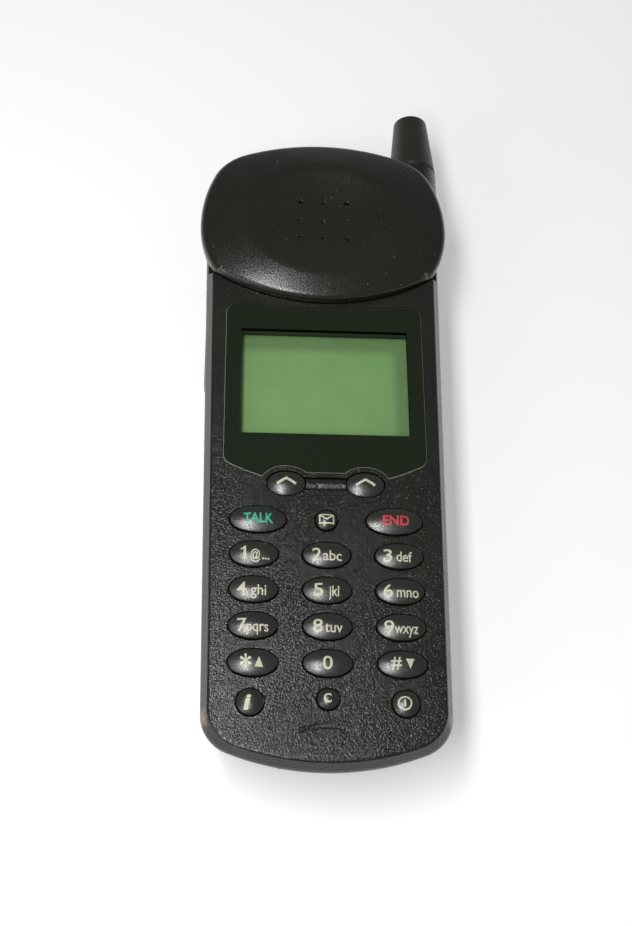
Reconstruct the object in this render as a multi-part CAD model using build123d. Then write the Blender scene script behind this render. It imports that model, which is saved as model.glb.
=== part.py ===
from build123d import *
import os
from math import sqrt

# A mobile phone whose earpiece head slides up, lying on its back.
# +X is to the right of the keypad, +Y points to the antenna, +Z comes out of the front face.
# The origin is on the flat back, midway along the body. All sizes are in millimetres.

# --- Handset body -----------------------------------------------------------------------
BODY_LENGTH = 152.0      # chin to crown
TOP_WIDTH = 55.8         # across the shoulders, at the waist line
CHIN_WIDTH = 52.4        # across the chin, at the waist line
BODY_DEPTH = 25.0        # flat back to front face
BEVEL_RISE = 3.0         # the front edge's bevel: its height
BEVEL_INSET = 1.6        # and how far it leans in
BACK_SIDE_IN = 2.4       # how far each side leans in by the time it reaches the back
BACK_CHIN_IN = 7.0       # the same at the chin
BACK_TOP_IN = 4.0        # the same at the crown
CHIN_ARC_R = 57.0
CROWN_ARC_R = 46.0
CHIN_CORNER_R = 8.6
SHOULDER_R = 10.0
BACK_EDGE_R = 5.0
WAIST_EDGE_R = 2.0
FACE_EDGE_R = 0.6
WALL = 1.6
PARTING_RISE = 2.0       # from the battery deck's upper face to the housings' parting line
GAP = 0.2                # between pieces that move past each other
SEAT_GAP = 0.1           # between a piece and the recess that it is set in
BITE = 0.1               # how far two forms of one piece run into each other
NEAR = 0.01              # tolerance for picking an edge or a corner by its place
EDGE_BREAK = 0.5         # bevel on the rims of turned pieces

# --- Sliding head -----------------------------------------------------------------------
HEAD_LENGTH = 44.8
HEAD_SIDE_REACH = 1.35   # how far the head stands out past the body's shoulders
HEAD_OVERHANG = 3.3      # beyond the body's crown
HEAD_TRAVEL = 20.0
HEAD_WIDEST = 20.0       # height of the widest point above the lower arc
HEAD_LOW_R = 47.0        # lower arc
HEAD_TOP_R = 62.0        # upper arc
HEAD_CORNER_IN = 3.85    # where the lower arc meets the sides, in from the widest point
HEAD_CORNER_R = 2.5
HEAD_SHOULDER_IN = 5.7   # where the upper arc meets the sides
HEAD_SHOULDER_R = 12.0
HEAD_ROLL_R = 1.8        # rounding of the cover's edge
HEAD_WALL = 1.4
TRAY_T = 1.3             # height of the head's lower half
TRAY_FLOOR_T = 0.9
SEAM_STEP = 0.15         # how far the tray's wall stands back under the cover's
STEP_DEPTH = 2.0         # from the front face down to the runway
STEP_GAP = 0.3
CROWN_PEAK = 6.2         # top of the cover's crown, above the front face, if it had no dish
CROWN_RX = 114.0
CROWN_RY = 60.0
DISH_FROM_LOW = 21.6     # from the head's lower arc up to the middle of the dish
DISH_FLOOR = 2.2         # above the front face
DISH_RX = 72.0
DISH_RY = 52.0
DISH_RIM_R = 6.0
DISH_WALL = 1.0
SOUND_PITCH_X = 5.5
SOUND_PITCH_Y = 5.05
SOUND_HOLE_R = 0.5
SOUND_FLARE = 0.2
RECEIVER_R = 9.0
RECEIVER_GASKET_T = 0.3
RECEIVER_GASKET_WIDTH = 0.7

# --- Slide gear -------------------------------------------------------------------------
FOOT_X = 14.0
FOOT_WIDTH = 3.0
FOOT_LENGTH = 8.0
FOOT_FROM_LOW = 4.6      # from the head's lower arc to the feet
FOOT_BORE_R = 0.75
SHOE_WIDTH = 7.0
SHOE_LENGTH = 9.0
SHOE_T = 0.8
RAIL_WIDTH = 2.0
RAIL_LIP = 1.2
RAIL_LIP_T = 0.6
RAIL_END = 1.0           # how far the rails run on past the shoes' travel
DETENT_T = 0.3
DETENT_R = 0.5
DETENT_STAND_OFF = 0.25  # from the shoe's side to the middle of the spring's bumps
SLIDE_SCREW_R = 0.7
SLIDE_SCREW_HEAD_R = 1.4
SLIDE_SCREW_HEAD_T = 0.5
FLEX_WIDTH = 6.0
FLEX_T = 0.2
FLEX_LIFT = 0.3          # of the flex above the tray's faces
FLEX_FROM_LOW = 3.0      # from the raised head's lower arc to the slit for the flex
FLEX_SLIT = 1.2
FLEX_SIDE_GAP = 1.0
FLEX_FOOT = 4.0          # the stretch of the flex that lies on the board
FLEX_ROLL_GAP = 1.5      # room for the flex's bend at each end of the tray's window

# --- Display ----------------------------------------------------------------------------
WINDOW_FROM_SIDE = 4.35  # from the body's mean half width in to the window's edge
WINDOW_T = 1.2
LEDGE_T = 1.2            # of the housing under the window
LEDGE_REACH = 1.0        # how far the ledge runs on past the window
WINDOW_TOP_SAG = 1.3
WINDOW_LOW_R = 47.0
WINDOW_CORNER_R = 2.6
WINDOW_EDGE = 0.15       # bevel round the window
WINDOW_BELOW_HEAD = 1.6  # from the head's lower arc down to the window, on the centre line
WINDOW_BELOW_SOFT = 0.4  # from the soft keys' row down to the window's lower arc
VIEW_WIDTH = 38.4        # the green area
VIEW_HEIGHT = 27.2
VIEW_CORNER_R = 1.0
VIEW_BELOW_WINDOW = 5.8  # from the window's top edge down to the green area
VIEW_DEPTH = 3.9         # from the front face down to the display glass
LCD_BORDER = 0.5
LCD_T = 2.2
GUIDE_T = 1.55
LCD_FRAME_WALL = 1.1

# --- Keys -------------------------------------------------------------------------------
COLUMN_FROM_SIDE = 11.45  # from the body's mean half width in to the outer columns
ROW = 8.11
LAST_ROW_FROM_CHIN = 22.3
DIGIT_SIZE = (10.3, 5.9)
CALL_SIZE = (12.2, 6.2)
CALL_IN = 0.8             # the call keys' centres lie inside the outer columns
MESSAGE_R = 2.3
SIDE_ROUND_R = 2.8
SIDE_ROUND_OUT = 0.45     # the two round side keys lie outside the outer columns
CLEAR_R = 2.25
CLEAR_RISE = 0.8
ROUND_ROW_DROP = 8.45
SOFT_SIZE = (8.5, 5.9)
SOFT_X = 8.7
SOFT_ROW_RISE = 8.75
KEY_PROUD = 1.35
SOFT_PROUD = 1.1
KEY_DROP = 0.95          # from the middle of a key's dome to its edge
KEY_EDGE_R = 0.3
KEY_GAP = 0.2
HOLE_EDGE = 0.15         # bevel round each key's hole
KEY_TRAVEL = 0.5
KEY_FLANGE_T = 0.7
KEY_FLANGE_REACH = 0.9
KEY_FLANGE_HEIGHT = 3.2
KEY_STEM_R = 1.6
DOME_R = 2.0
DOME_TOP_R = 1.2
DOME_T = 0.35
DOME_SHEET_T = 0.15
MAT_T = 1.5
MAT_RIB = 1.5
MAT_FROM_CHIN = 9.8
MAT_ABOVE_SOFT = 4.2
MAT_SIDE_GAP = 1.2       # from the housing's wall to the mat
LIP_WIDTH = 1.05         # raised lip round the soft keys
LIP_RISE = 0.3
LIP_WINDOW_GAP = 0.15
POCKET_DEPTH = 0.8
BRIDGE_HEIGHT = 5.3
SADDLE_R = 1.9
SADDLE_DROP = 0.5        # from the pocket's floor down to the saddle's axis
NUB_R = 0.6              # the two guide nubs beside the middle key
NUB_RISE = 0.3

# --- Marks at the chin ------------------------------------------------------------------
GROOVE_FROM_CHIN = 9.0
GROOVE_ARC_R = 18.5
GROOVE_HALF = 6.0
GROOVE_WIDTH = 1.3
GROOVE_DEPTH = 0.25
GROOVE_END_SINK = 0.03   # how far the ball that ends the groove dips below its floor
MIC_SLIT_FROM_CHIN = 5.5
MIC_SLIT = (0.9, 0.4)
DIMPLE_X = 3.1
DIMPLE_R = 0.5
DIMPLE_DEPTH = 0.15

# --- Board and what it carries ----------------------------------------------------------
BOARD_T = 1.2
BOARD_LEFT_IN = 5.6      # from the body's widest half width in to the board's left edge
BOARD_FROM_CROWN = 9.0
BOARD_EDGE_GAP = 0.6     # from the housing's wall to the board's ends
BOARD_CORNER_GAP = 0.9   # round the antenna's bushing
CHANNEL_BOARD_GAP = 0.3
BOSS_R = 2.3
BOSS_GAP = 0.3
POST_R = 1.5
POST_X = 19.0
POST_FROM_CHIN = 30.0
POST_FROM_BOARD_TOP = 12.0
SCREW_R = 0.9
SCREW_THREAD_GAP = 0.05
SCREW_HEAD_R = 1.7
SCREW_HEAD_T = 1.2
SCREW_SOCKET_R = 0.7
SCREW_SOCKET_DEPTH = 0.6
SCREW_LENGTH = 7.0
WELL_WALL = 0.9          # round the upper screws' wells
LOW_SCREW_FROM_SIDE = 2.6  # in from the back's side
LOW_SCREW_FROM_CHIN = 18.0
TOP_SCREW_X = 7.0
TOP_SCREW_FROM_CROWN = 13.0
MIC_R = 2.5
MIC_T = 2.2
MIC_BOOT_WALL = 0.5
MIC_FROM_CHIN = 6.7
CONNECTOR_SIZE = (19.4, 3.2)
CONNECTOR_DEPTH = 10.0
CONNECTOR_DROP = 0.6     # from the board down to the connector's nose
CONNECTOR_SHELL = 1.2
CONNECTOR_SLOT_HEIGHT = 1.8
CONNECTOR_SLOT_DEPTH = 2.0
CONNECTOR_TONGUE_T = 0.6
CONNECTOR_SET_BACK = 0.8
CONNECTOR_WALL_GAP = 0.4
CONNECTOR_LIP = 0.3      # how far the connector's body reaches below its nose
RINGER_R = 8.5
RINGER_T = 4.4
RINGER_X = -10.5
RINGER_GAP = 1.4
RINGER_HOLE_R = 0.6
RINGER_HOLE_PITCH = 3.0
CAN_WALL = 0.3
RF_CAN = (24.0, 18.0, 2.2)
RF_CAN_ABOVE_LOW = 1.0   # from the head's lower arc to the can
LOGIC_CAN = (32.0, 32.0)
LOGIC_CAN_FROM_CHIN = 34.0
LOGIC_CAN_FLOOR_GAP = 1.6

# --- Battery ----------------------------------------------------------------------------
BATTERY_T = 9.4
BATTERY_TOP = 22.0
BATTERY_WALL = 1.2
BATTERY_TRAVEL = 12.0
BATTERY_GAP = 0.3
DECK_T = 1.4
HOOK_X = 17.0
HOOK_LENGTH = 6.0
HOOK_LEG = 1.6
HOOK_TOE = 1.4
HOOK_TOE_T = 0.8
HOOK_BELOW_LID = 1.0
HOOK_FROM_CHIN = 22.0
HOOK_FROM_TOP = 34.0
CELL_T = 5.6
CELLS = 3
CELL_HALF_WIDTH = 19.0
CELL_GAP = 0.3
CELL_END_GAP = 1.5
CATCH_FROM_TOP = 2.8
CATCH_WIDTH = 5.0
CATCH_NOSE = 1.6
CATCH_HOLE_GAP = 0.4
CATCH_POCKET_GAP = 0.3
LEAF_T = 0.3
LEAF_POST_FROM_BUTTON = 13.0
TAB_FROM_BUTTON = 1.6
TAB_DROP = 1.0
CONTACT_FROM_TOP = 9.0
CONTACT_PITCH = 4.0
CONTACT_SIZE = (1.2, 3.2)
CONTACT_HOUSING = (13.0, 5.4)
CONTACT_HOUSING_GAP = 0.3  # from the deck up to the contact block
CONTACT_HOLE_GAP = 0.3
CONTACT_PAD = (2.6, 5.0)
CONTACT_PAD_T = 0.3
CONTACT_PAD_DEPTH = 0.4
CONTACT_FREE = 0.25      # from the blades down to the battery's lid
BUTTON_SIZE = (14.0, 9.0)
BUTTON_FROM_BATTERY = 10.0
BUTTON_TRAVEL = 1.5
BUTTON_SET_BACK = 0.3
BUTTON_T = 1.7
BUTTON_FLANGE = 1.2
BUTTON_FLANGE_T = 0.8
BUTTON_END_REACH = 0.6
GRIP_PITCH = 2.0
GRIP_WIDTH = 0.8
GRIP_DEPTH = 0.4
GRIP_END = 1.5
GRIPS = 4
STEM_BACK = 1.6
STEM_FRONT = 1.2
RAMP_TOP_BACK = 0.6
RAMP_HEIGHT = 1.4

# --- Antenna ----------------------------------------------------------------------------
ANTENNA_FROM_SIDE = 4.7  # in from the widest half width
ANTENNA_DEPTH = 8.0      # axis below the front face
BOSS_REACH = 1.9         # how far the antenna's boss stands above the crown
ANTENNA_BOSS_R = 5.9
BOSS_FADE = 45.0         # length over which the boss fades into the side
BOSS_FADE_IN = 2.2
BOSS_STRAIGHT = 14.0
STUB_LOW_R = 5.75
STUB_HIGH_R = 4.15
STUB_LENGTH = 17.3
STUB_DOME = 1.5
STUB_SHOULDER_R = 0.7
WHIP_R = 1.0
WHIP_TRAVEL = 70.0
WHIP_RUN_GAP = 0.08
WHIP_END_GAP = 1.0       # from the collar to the bushing when the whip is out
COLLAR_R = 1.6
COLLAR_LENGTH = 3.0
BUSHING_R = 3.4
BUSHING_SEAT_GAP = 0.02
BUSHING_LENGTH = 11.0
CHANNEL_R = 1.9
CHANNEL_END = 6.0        # how far the channel runs on below the collar
SPRING_SIZE = (2.4, 2.5)
SPRING_T = 0.4
SPRING_HEIGHT = 1.8
SPRING_GAP = 0.15
SPRING_OVERLAP = 1.2     # how far the arm lies beside the bushing

# --- Volume rocker ----------------------------------------------------------------------
ROCKER_LENGTH = 19.0
ROCKER_HEIGHT = 4.4
ROCKER_Y = 24.0
ROCKER_ABOVE_ANTENNA = 1.0
ROCKER_PROUD = 0.5
ROCKER_DEPTH = 3.0
ROCKER_END_GAP = 0.3
ROCKER_END_R = 0.8
ROCKER_WEB_X = 0.9       # from the side in to the cut that leaves the rocker's web
ROCKER_WEB_HEIGHT = 2.4
ROCKER_WEB_LENGTH = 5.4
ROCKER_PAD = 1.4
TRUNNION_R = 0.6
TRUNNION_GAP = 0.05
TRUNNION_REACH = 0.9
TRUNNION_IN = 1.4        # from the side in to the rocker's axis
SWITCH_SIZE = (1.9, 15.0, 2.2)
SWITCH_GAP = 1.1
PLUNGER_R = 0.7
PLUNGER_LENGTH = 0.8
PLUNGER_Y = 6.0


def sagitta(radius, half_chord):
    """Height of an arc above its chord."""
    return radius - sqrt(radius ** 2 - half_chord ** 2)


# --- Levels worked out from the sizes above ---------------------------------------------
FACE = BODY_DEPTH
WAIST_Z = FACE - BEVEL_RISE
CEILING = FACE - WALL
RUNWAY = FACE - STEP_DEPTH
RUNWAY_CEILING = RUNWAY - WALL
LCD_TOP = FACE - VIEW_DEPTH
GUIDE_TOP = LCD_TOP - LCD_T
BOARD_Z = GUIDE_TOP - GUIDE_T - SEAT_GAP       # upper face of the board
BOARD_LOW = BOARD_Z - BOARD_T
LID_Z = BATTERY_T - BATTERY_WALL
DECK_Z = BATTERY_T + GAP
FLOOR_Z = DECK_Z + DECK_T
PARTING_Z = FLOOR_Z + PARTING_RISE
HOOK_LOW = LID_Z - HOOK_BELOW_LID
LEDGE_Z = FACE - WINDOW_T - LEDGE_T
TRAY_Z = RUNWAY + GAP
SEAM_Z = TRAY_Z + TRAY_T
SHOE_TOP = RUNWAY_CEILING - GAP
SHOE_LOW = SHOE_TOP - SHOE_T
DISH_CEILING = FACE + DISH_FLOOR - DISH_WALL   # inside the cover, under the dish
ANTENNA_Z = FACE - ANTENNA_DEPTH
ROCKER_Z = ANTENNA_Z + ROCKER_ABOVE_ANTENNA
CONNECTOR_Z = BOARD_LOW - CONNECTOR_SIZE[1] / 2 - CONNECTOR_DROP
FLANGE_TOP = CEILING - GAP
FLANGE_LOW = FLANGE_TOP - KEY_FLANGE_T
DOME_TOP = BOARD_Z + DOME_SHEET_T + DOME_T
MAT_TOP = FLANGE_LOW - KEY_TRAVEL - GAP
FLANGE_Z = WALL + GAP                          # inner flange of the release button
STEM_Z = FLANGE_Z + BUTTON_FLANGE_T / 2
RAMP_RISE = FLOOR_Z - GAP - STEM_Z

# --- Places along the phone -------------------------------------------------------------
FAR = 2 * BODY_LENGTH                          # beyond every surface
BOTTOM = -BODY_LENGTH / 2
TOP = BODY_LENGTH / 2
HEAD_HIGH = TOP + HEAD_OVERHANG
HEAD_LOW = HEAD_HIGH - HEAD_LENGTH
HEAD_MID = HEAD_LOW + DISH_FROM_LOW            # centre of the dish
BOSS_END = TOP + BOSS_REACH
BUSHING_LOW = BOSS_END - BUSHING_LENGTH
BOARD_TOP = TOP - BOARD_FROM_CROWN
WINDOW_TOP = HEAD_LOW - WINDOW_BELOW_HEAD
VIEW_Y = WINDOW_TOP - VIEW_BELOW_WINDOW - VIEW_HEIGHT / 2
LAST_ROW = BOTTOM + LAST_ROW_FROM_CHIN
CALL_ROW = LAST_ROW + 4 * ROW
SOFT_ROW = CALL_ROW + SOFT_ROW_RISE
ROUND_ROW = LAST_ROW - ROUND_ROW_DROP
FOOT_Y = HEAD_LOW + FOOT_FROM_LOW + FOOT_LENGTH / 2
FLEX_Y = HEAD_LOW + HEAD_TRAVEL + FLEX_FROM_LOW
HOOK_ROWS = (BOTTOM + HOOK_FROM_CHIN, BATTERY_TOP - HOOK_FROM_TOP)
BAY_TOP = BATTERY_TOP + BATTERY_GAP
CATCH_Y = BATTERY_TOP - CATCH_FROM_TOP
CONTACT_Y = BATTERY_TOP - CONTACT_FROM_TOP
BUTTON_Y = BATTERY_TOP + BUTTON_FROM_BATTERY
LEAF_POST_Y = BUTTON_Y + LEAF_POST_FROM_BUTTON
RINGER_Y = BUTTON_Y + BUTTON_SIZE[1] / 2 + 2 * BUTTON_TRAVEL + RINGER_R + RINGER_GAP


def side_x(y, z):
    """Distance from the centre line to the body's side, below the waist."""
    along = (y - BOTTOM) / BODY_LENGTH
    waist = CHIN_WIDTH / 2 + (TOP_WIDTH - CHIN_WIDTH) / 2 * along
    return waist - BACK_SIDE_IN * (1 - z / WAIST_Z)


# --- Places across the phone ------------------------------------------------------------
MEAN_HALF = (TOP_WIDTH + CHIN_WIDTH) / 4       # half the body's width at mid-length
HEAD_WIDTH = TOP_WIDTH + 2 * HEAD_SIDE_REACH
WINDOW_WIDTH = 2 * (MEAN_HALF - WINDOW_FROM_SIDE)
GLASS_WIDTH = VIEW_WIDTH + 2 * LCD_BORDER
GLASS_HEIGHT = VIEW_HEIGHT + 2 * LCD_BORDER
COLUMN = MEAN_HALF - COLUMN_FROM_SIDE
CALL_X = COLUMN - CALL_IN
SIDE_ROUND_X = COLUMN + SIDE_ROUND_OUT
ANTENNA_X = TOP_WIDTH / 2 - ANTENNA_FROM_SIDE
BOARD_LEFT = TOP_WIDTH / 2 - BOARD_LEFT_IN
BOARD_RIGHT = ANTENNA_X - CHANNEL_R - CHANNEL_BOARD_GAP
ROCKER_X = -side_x(ROCKER_Y, ROCKER_Z)
TRUNNION_X = ROCKER_X + TRUNNION_IN
DETENT_X = -FOOT_X + SHOE_WIDTH / 2 + DETENT_STAND_OFF
CONTACT_XS = (-CONTACT_PITCH, 0.0, CONTACT_PITCH)
LOW_SCREW_Y = BOTTOM + LOW_SCREW_FROM_CHIN
LOW_SCREW_X = side_x(LOW_SCREW_Y, 0) - LOW_SCREW_FROM_SIDE
TOP_SCREW_Y = TOP - TOP_SCREW_FROM_CROWN
SCREWS = [(side * x, y) for side in (-1, 1)
          for x, y in ((LOW_SCREW_X, LOW_SCREW_Y), (TOP_SCREW_X, TOP_SCREW_Y))]
POSTS = [(side * POST_X, y) for side in (-1, 1)
         for y in (BOTTOM + POST_FROM_CHIN, 0, BOARD_TOP - POST_FROM_BOARD_TOP)]


# ========================================================================================
# Shared forms
# ========================================================================================

def block(x, y, z):
    """A box between pairs of low and high limits."""
    size = [high - low for low, high in (x, y, z)]
    middle = [(high + low) / 2 for low, high in (x, y, z)]
    return Pos(*middle) * Box(*size)


def box_at(x, y, z, width, length):
    """A box centred on a place, between two heights."""
    return block((x - width / 2, x + width / 2), (y - length / 2, y + length / 2), z)


def slab(z_low, z_high, y_low=-FAR, y_high=FAR):
    """Everything between two heights and two places along the phone."""
    return block((-FAR, FAR), (y_low, y_high), (z_low, z_high))


def rod(radius, x, y, z_low, z_high):
    """An upright cylinder."""
    return Pos(x, y, (z_low + z_high) / 2) * Cylinder(radius, z_high - z_low)


def rod_y(radius, x, z, y_low, y_high):
    """A cylinder that lies along the phone."""
    lying = Pos(x, (y_low + y_high) / 2, z) * Rot(90, 0, 0)
    return lying * Cylinder(radius, y_high - y_low)


def prism(outline, low, high):
    """A flat outline raised between two heights."""
    return extrude(Pos(0, 0, low) * outline, high - low)


def barrel(peak, r_x, r_y, half_width, y=0.0, hollow=False):
    """A solid with one doubly curved skin that touches height peak.
    The skin bulges up, or cups down where hollow is set."""
    way = -1 if hollow else 1
    axis_z = peak - way * r_y
    rim = peak - way * sagitta(r_x, half_width)
    profile = make_face([
        ThreePointArc((-half_width, rim), (0, peak), (half_width, rim)),
        Line((half_width, rim), (half_width, axis_z)),
        Line((half_width, axis_z), (-half_width, axis_z)),
        Line((-half_width, axis_z), (-half_width, rim)),
    ])
    turned = revolve(Plane.XZ * profile, Axis((0, 0, axis_z), (1, 0, 0)))
    return Pos(0, y, 0) * turned


def edges_at(solid, z):
    """The edges that lie wholly at height z."""
    spans = [(e, e.bounding_box()) for e in solid.edges()]
    return [e for e, box in spans if abs(box.min.Z - z) < NEAR and abs(box.max.Z - z) < NEAR]


def edges_above(solid, z):
    """The edges that lie wholly above height z."""
    return [e for e in solid.edges() if e.bounding_box().min.Z > z]


def body_section(z, inset=0.0):
    """The body's outline at height z, drawn in by inset."""
    if z >= WAIST_Z:
        side = chin = crown = BEVEL_INSET * (z - WAIST_Z) / BEVEL_RISE
    else:
        lean = 1 - z / WAIST_Z
        side, chin, crown = BACK_SIDE_IN * lean, BACK_CHIN_IN * lean, BACK_TOP_IN * lean
    half_chin = CHIN_WIDTH / 2 - side - inset
    half_top = TOP_WIDTH / 2 - side - inset
    low, high = BOTTOM + chin + inset, TOP - crown - inset
    y_chin = low + sagitta(CHIN_ARC_R, half_chin)
    y_top = high - sagitta(CROWN_ARC_R, half_top)
    outline = make_face([
        ThreePointArc((-half_chin, y_chin), (0, low), (half_chin, y_chin)),
        Line((half_chin, y_chin), (half_top, y_top)),
        ThreePointArc((half_top, y_top), (0, high), (-half_top, y_top)),
        Line((-half_top, y_top), (-half_chin, y_chin)),
    ])
    outline = fillet(outline.vertices().sort_by(Axis.Y)[:2], CHIN_CORNER_R - inset)
    outline = fillet(outline.vertices().sort_by(Axis.Y)[-2:], SHOULDER_R - inset)
    return outline


def body_block(low, high, inset=0.0):
    """The body's form between two heights, drawn in by inset."""
    levels = [low, WAIST_Z, high] if low < WAIST_Z < high else [low, high]
    return loft([Pos(0, 0, z) * body_section(z, inset) for z in levels], ruled=True)


def body_envelope():
    """The whole body before it is parted, with its rounded edges and the antenna's boss."""
    body = body_block(0, FACE)
    for z, radius in ((0, BACK_EDGE_R), (WAIST_Z, WAIST_EDGE_R), (FACE, FACE_EDGE_R)):
        body = fillet(edges_at(body, z), radius)
    return body + antenna_boss()


def antenna_boss():
    """The swelling at the right shoulder that carries the antenna."""
    low = BOSS_END - BOSS_FADE
    profile = make_face(Polyline(
        (0, low), (ANTENNA_BOSS_R - BOSS_FADE_IN, low), (ANTENNA_BOSS_R, BOSS_END - BOSS_STRAIGHT),
        (ANTENNA_BOSS_R, BOSS_END), (0, BOSS_END), close=True))
    boss = revolve(profile, Axis.Y)
    rim = boss.edges().filter_by(GeomType.CIRCLE).sort_by(Axis.Y)[-1]
    return Pos(ANTENNA_X, 0, ANTENNA_Z) * chamfer(rim, EDGE_BREAK)


def head_zone(clearance):
    """Everything above the head's lower arc, moved down by a clearance."""
    reach = HEAD_WIDTH / 2 + WALL
    low, radius = HEAD_LOW - clearance, HEAD_LOW_R + clearance
    y_side = low + sagitta(radius, reach)
    return make_face([
        ThreePointArc((-reach, y_side), (0, low), (reach, y_side)),
        Line((reach, y_side), (reach, FAR)),
        Line((reach, FAR), (-reach, FAR)),
        Line((-reach, FAR), (-reach, y_side)),
    ])


def head_section(inset=0.0):
    """The sliding head's oval outline, with its two lower corners, drawn in by inset."""
    corner_x = HEAD_WIDTH / 2 - HEAD_CORNER_IN
    shoulder_x = HEAD_WIDTH / 2 - HEAD_SHOULDER_IN
    corner = (corner_x, HEAD_LOW + sagitta(HEAD_LOW_R, corner_x))
    shoulder = (shoulder_x, HEAD_HIGH - sagitta(HEAD_TOP_R, shoulder_x))
    widest = (HEAD_WIDTH / 2, HEAD_LOW + HEAD_WIDEST)
    right = [TangentArc(widest, corner, tangent=(0, -1)),
             TangentArc(widest, shoulder, tangent=(0, 1))]
    left = [arc.mirror(Plane.YZ) for arc in right]
    low_arc = ThreePointArc((-corner[0], corner[1]), (0, HEAD_LOW), corner)
    top_arc = ThreePointArc(shoulder, (0, HEAD_HIGH), (-shoulder[0], shoulder[1]))
    outline = make_face([low_arc, top_arc] + right + left)
    outline = fillet(outline.vertices().sort_by(Axis.Y)[-2:], HEAD_SHOULDER_R)
    corners = [v for v in outline.vertices() if abs(v.Y - corner[1]) < NEAR]
    outline = fillet(corners, HEAD_CORNER_R)
    return offset(outline, -inset) if inset else outline


# ========================================================================================
# Keys
# ========================================================================================

def oval(size, grow=0.0):
    """An oval key outline, grown evenly."""
    return Ellipse(size[0] / 2 + grow, size[1] / 2 + grow)


def key_table():
    """Every key: its name, centre, width and height."""
    keys = {}
    names = (("star", "0", "hash"), ("7", "8", "9"), ("4", "5", "6"), ("1", "2", "3"))
    for row, trio in enumerate(names):
        for column, name in enumerate(trio):
            keys["key_" + name] = ((column - 1) * COLUMN, LAST_ROW + row * ROW, DIGIT_SIZE)
    keys["key_talk"] = (-CALL_X, CALL_ROW, CALL_SIZE)
    keys["key_end"] = (CALL_X, CALL_ROW, CALL_SIZE)
    keys["key_message"] = (0, CALL_ROW, (2 * MESSAGE_R, 2 * MESSAGE_R))
    round_size = (2 * SIDE_ROUND_R, 2 * SIDE_ROUND_R)
    keys["key_info"] = (-SIDE_ROUND_X, ROUND_ROW, round_size)
    keys["key_power"] = (SIDE_ROUND_X, ROUND_ROW, round_size)
    keys["key_clear"] = (0, ROUND_ROW + CLEAR_RISE, (2 * CLEAR_R, 2 * CLEAR_R))
    keys["softkey_left"] = (-SOFT_X, SOFT_ROW, SOFT_SIZE)
    keys["softkey_right"] = (SOFT_X, SOFT_ROW, SOFT_SIZE)
    return keys


KEYS = key_table()


def build_key(size, proud):
    """A domed cap, its retaining flange under the housing and the stem that meets the dome."""
    peak = FACE + proud
    radii = [(half ** 2 + KEY_DROP ** 2) / (2 * KEY_DROP) for half in (size[0] / 2, size[1] / 2)]
    dome = barrel(peak, radii[0], radii[1], size[0] / 2 + BITE)
    cap = prism(oval(size), FLANGE_LOW, peak + 1) & dome
    cap = fillet(edges_above(cap, FLANGE_TOP), KEY_EDGE_R)
    flange = box_at(0, 0, (FLANGE_LOW, FLANGE_TOP), size[0] + 2 * KEY_FLANGE_REACH, KEY_FLANGE_HEIGHT)
    stem = rod(KEY_STEM_R, 0, 0, DOME_TOP + KEY_TRAVEL + SEAT_GAP, FLANGE_LOW + BITE)
    return cap + flange + stem


def soft_pocket(grow=0.0):
    """The dumbbell outline round the two soft keys."""
    reach = KEY_GAP + LIP_WIDTH + grow
    lobes = [Pos(side * SOFT_X, SOFT_ROW) * oval(SOFT_SIZE, reach) for side in (-1, 1)]
    bridge = Pos(0, SOFT_ROW) * Rectangle(2 * SOFT_X, BRIDGE_HEIGHT + 2 * grow)
    return lobes[0] + lobes[1] + bridge


# ========================================================================================
# Housings and window
# ========================================================================================

def window_outline(grow=0.0):
    """The display window: sagging top edge, arched lower edge, notched round the soft keys."""
    half = WINDOW_WIDTH / 2
    low = SOFT_ROW - WINDOW_BELOW_SOFT
    y_low = low + sagitta(WINDOW_LOW_R, half)
    y_top = WINDOW_TOP + WINDOW_TOP_SAG
    outline = make_face([
        ThreePointArc((-half, y_low), (0, low), (half, y_low)),
        Line((half, y_low), (half, y_top)),
        ThreePointArc((half, y_top), (0, WINDOW_TOP), (-half, y_top)),
        Line((-half, y_top), (-half, y_low)),
    ])
    outline = fillet(outline.vertices(), WINDOW_CORNER_R)
    if grow:
        outline = offset(outline, grow, kind=Kind.INTERSECTION)
    return outline - soft_pocket(LIP_WINDOW_GAP - grow)


def view_opening():
    """The rectangle through which the display glass is seen."""
    return Pos(0, VIEW_Y) * RectangleRounded(VIEW_WIDTH, VIEW_HEIGHT, VIEW_CORNER_R)


def front_cavity():
    """The hollow of the front housing, lower under the runway than under the face."""
    low = body_block(PARTING_Z, RUNWAY_CEILING, WALL)
    high = body_block(RUNWAY_CEILING, CEILING, WALL) - prism(head_zone(WALL), 0, FACE)
    return low + high


def slide_slots():
    """The two slots that the head's feet run in, and the slit for the flex."""
    depth = (RUNWAY_CEILING - 1, FACE)
    length = FOOT_LENGTH + HEAD_TRAVEL + 2 * GAP
    cuts = [box_at(side * FOOT_X, FOOT_Y + HEAD_TRAVEL / 2, depth, FOOT_WIDTH + 2 * GAP, length)
            for side in (-1, 1)]
    cuts.append(box_at(0, FLEX_Y, depth, FLEX_WIDTH + 2 * FLEX_SIDE_GAP, FLEX_SLIT))
    return cuts


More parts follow.
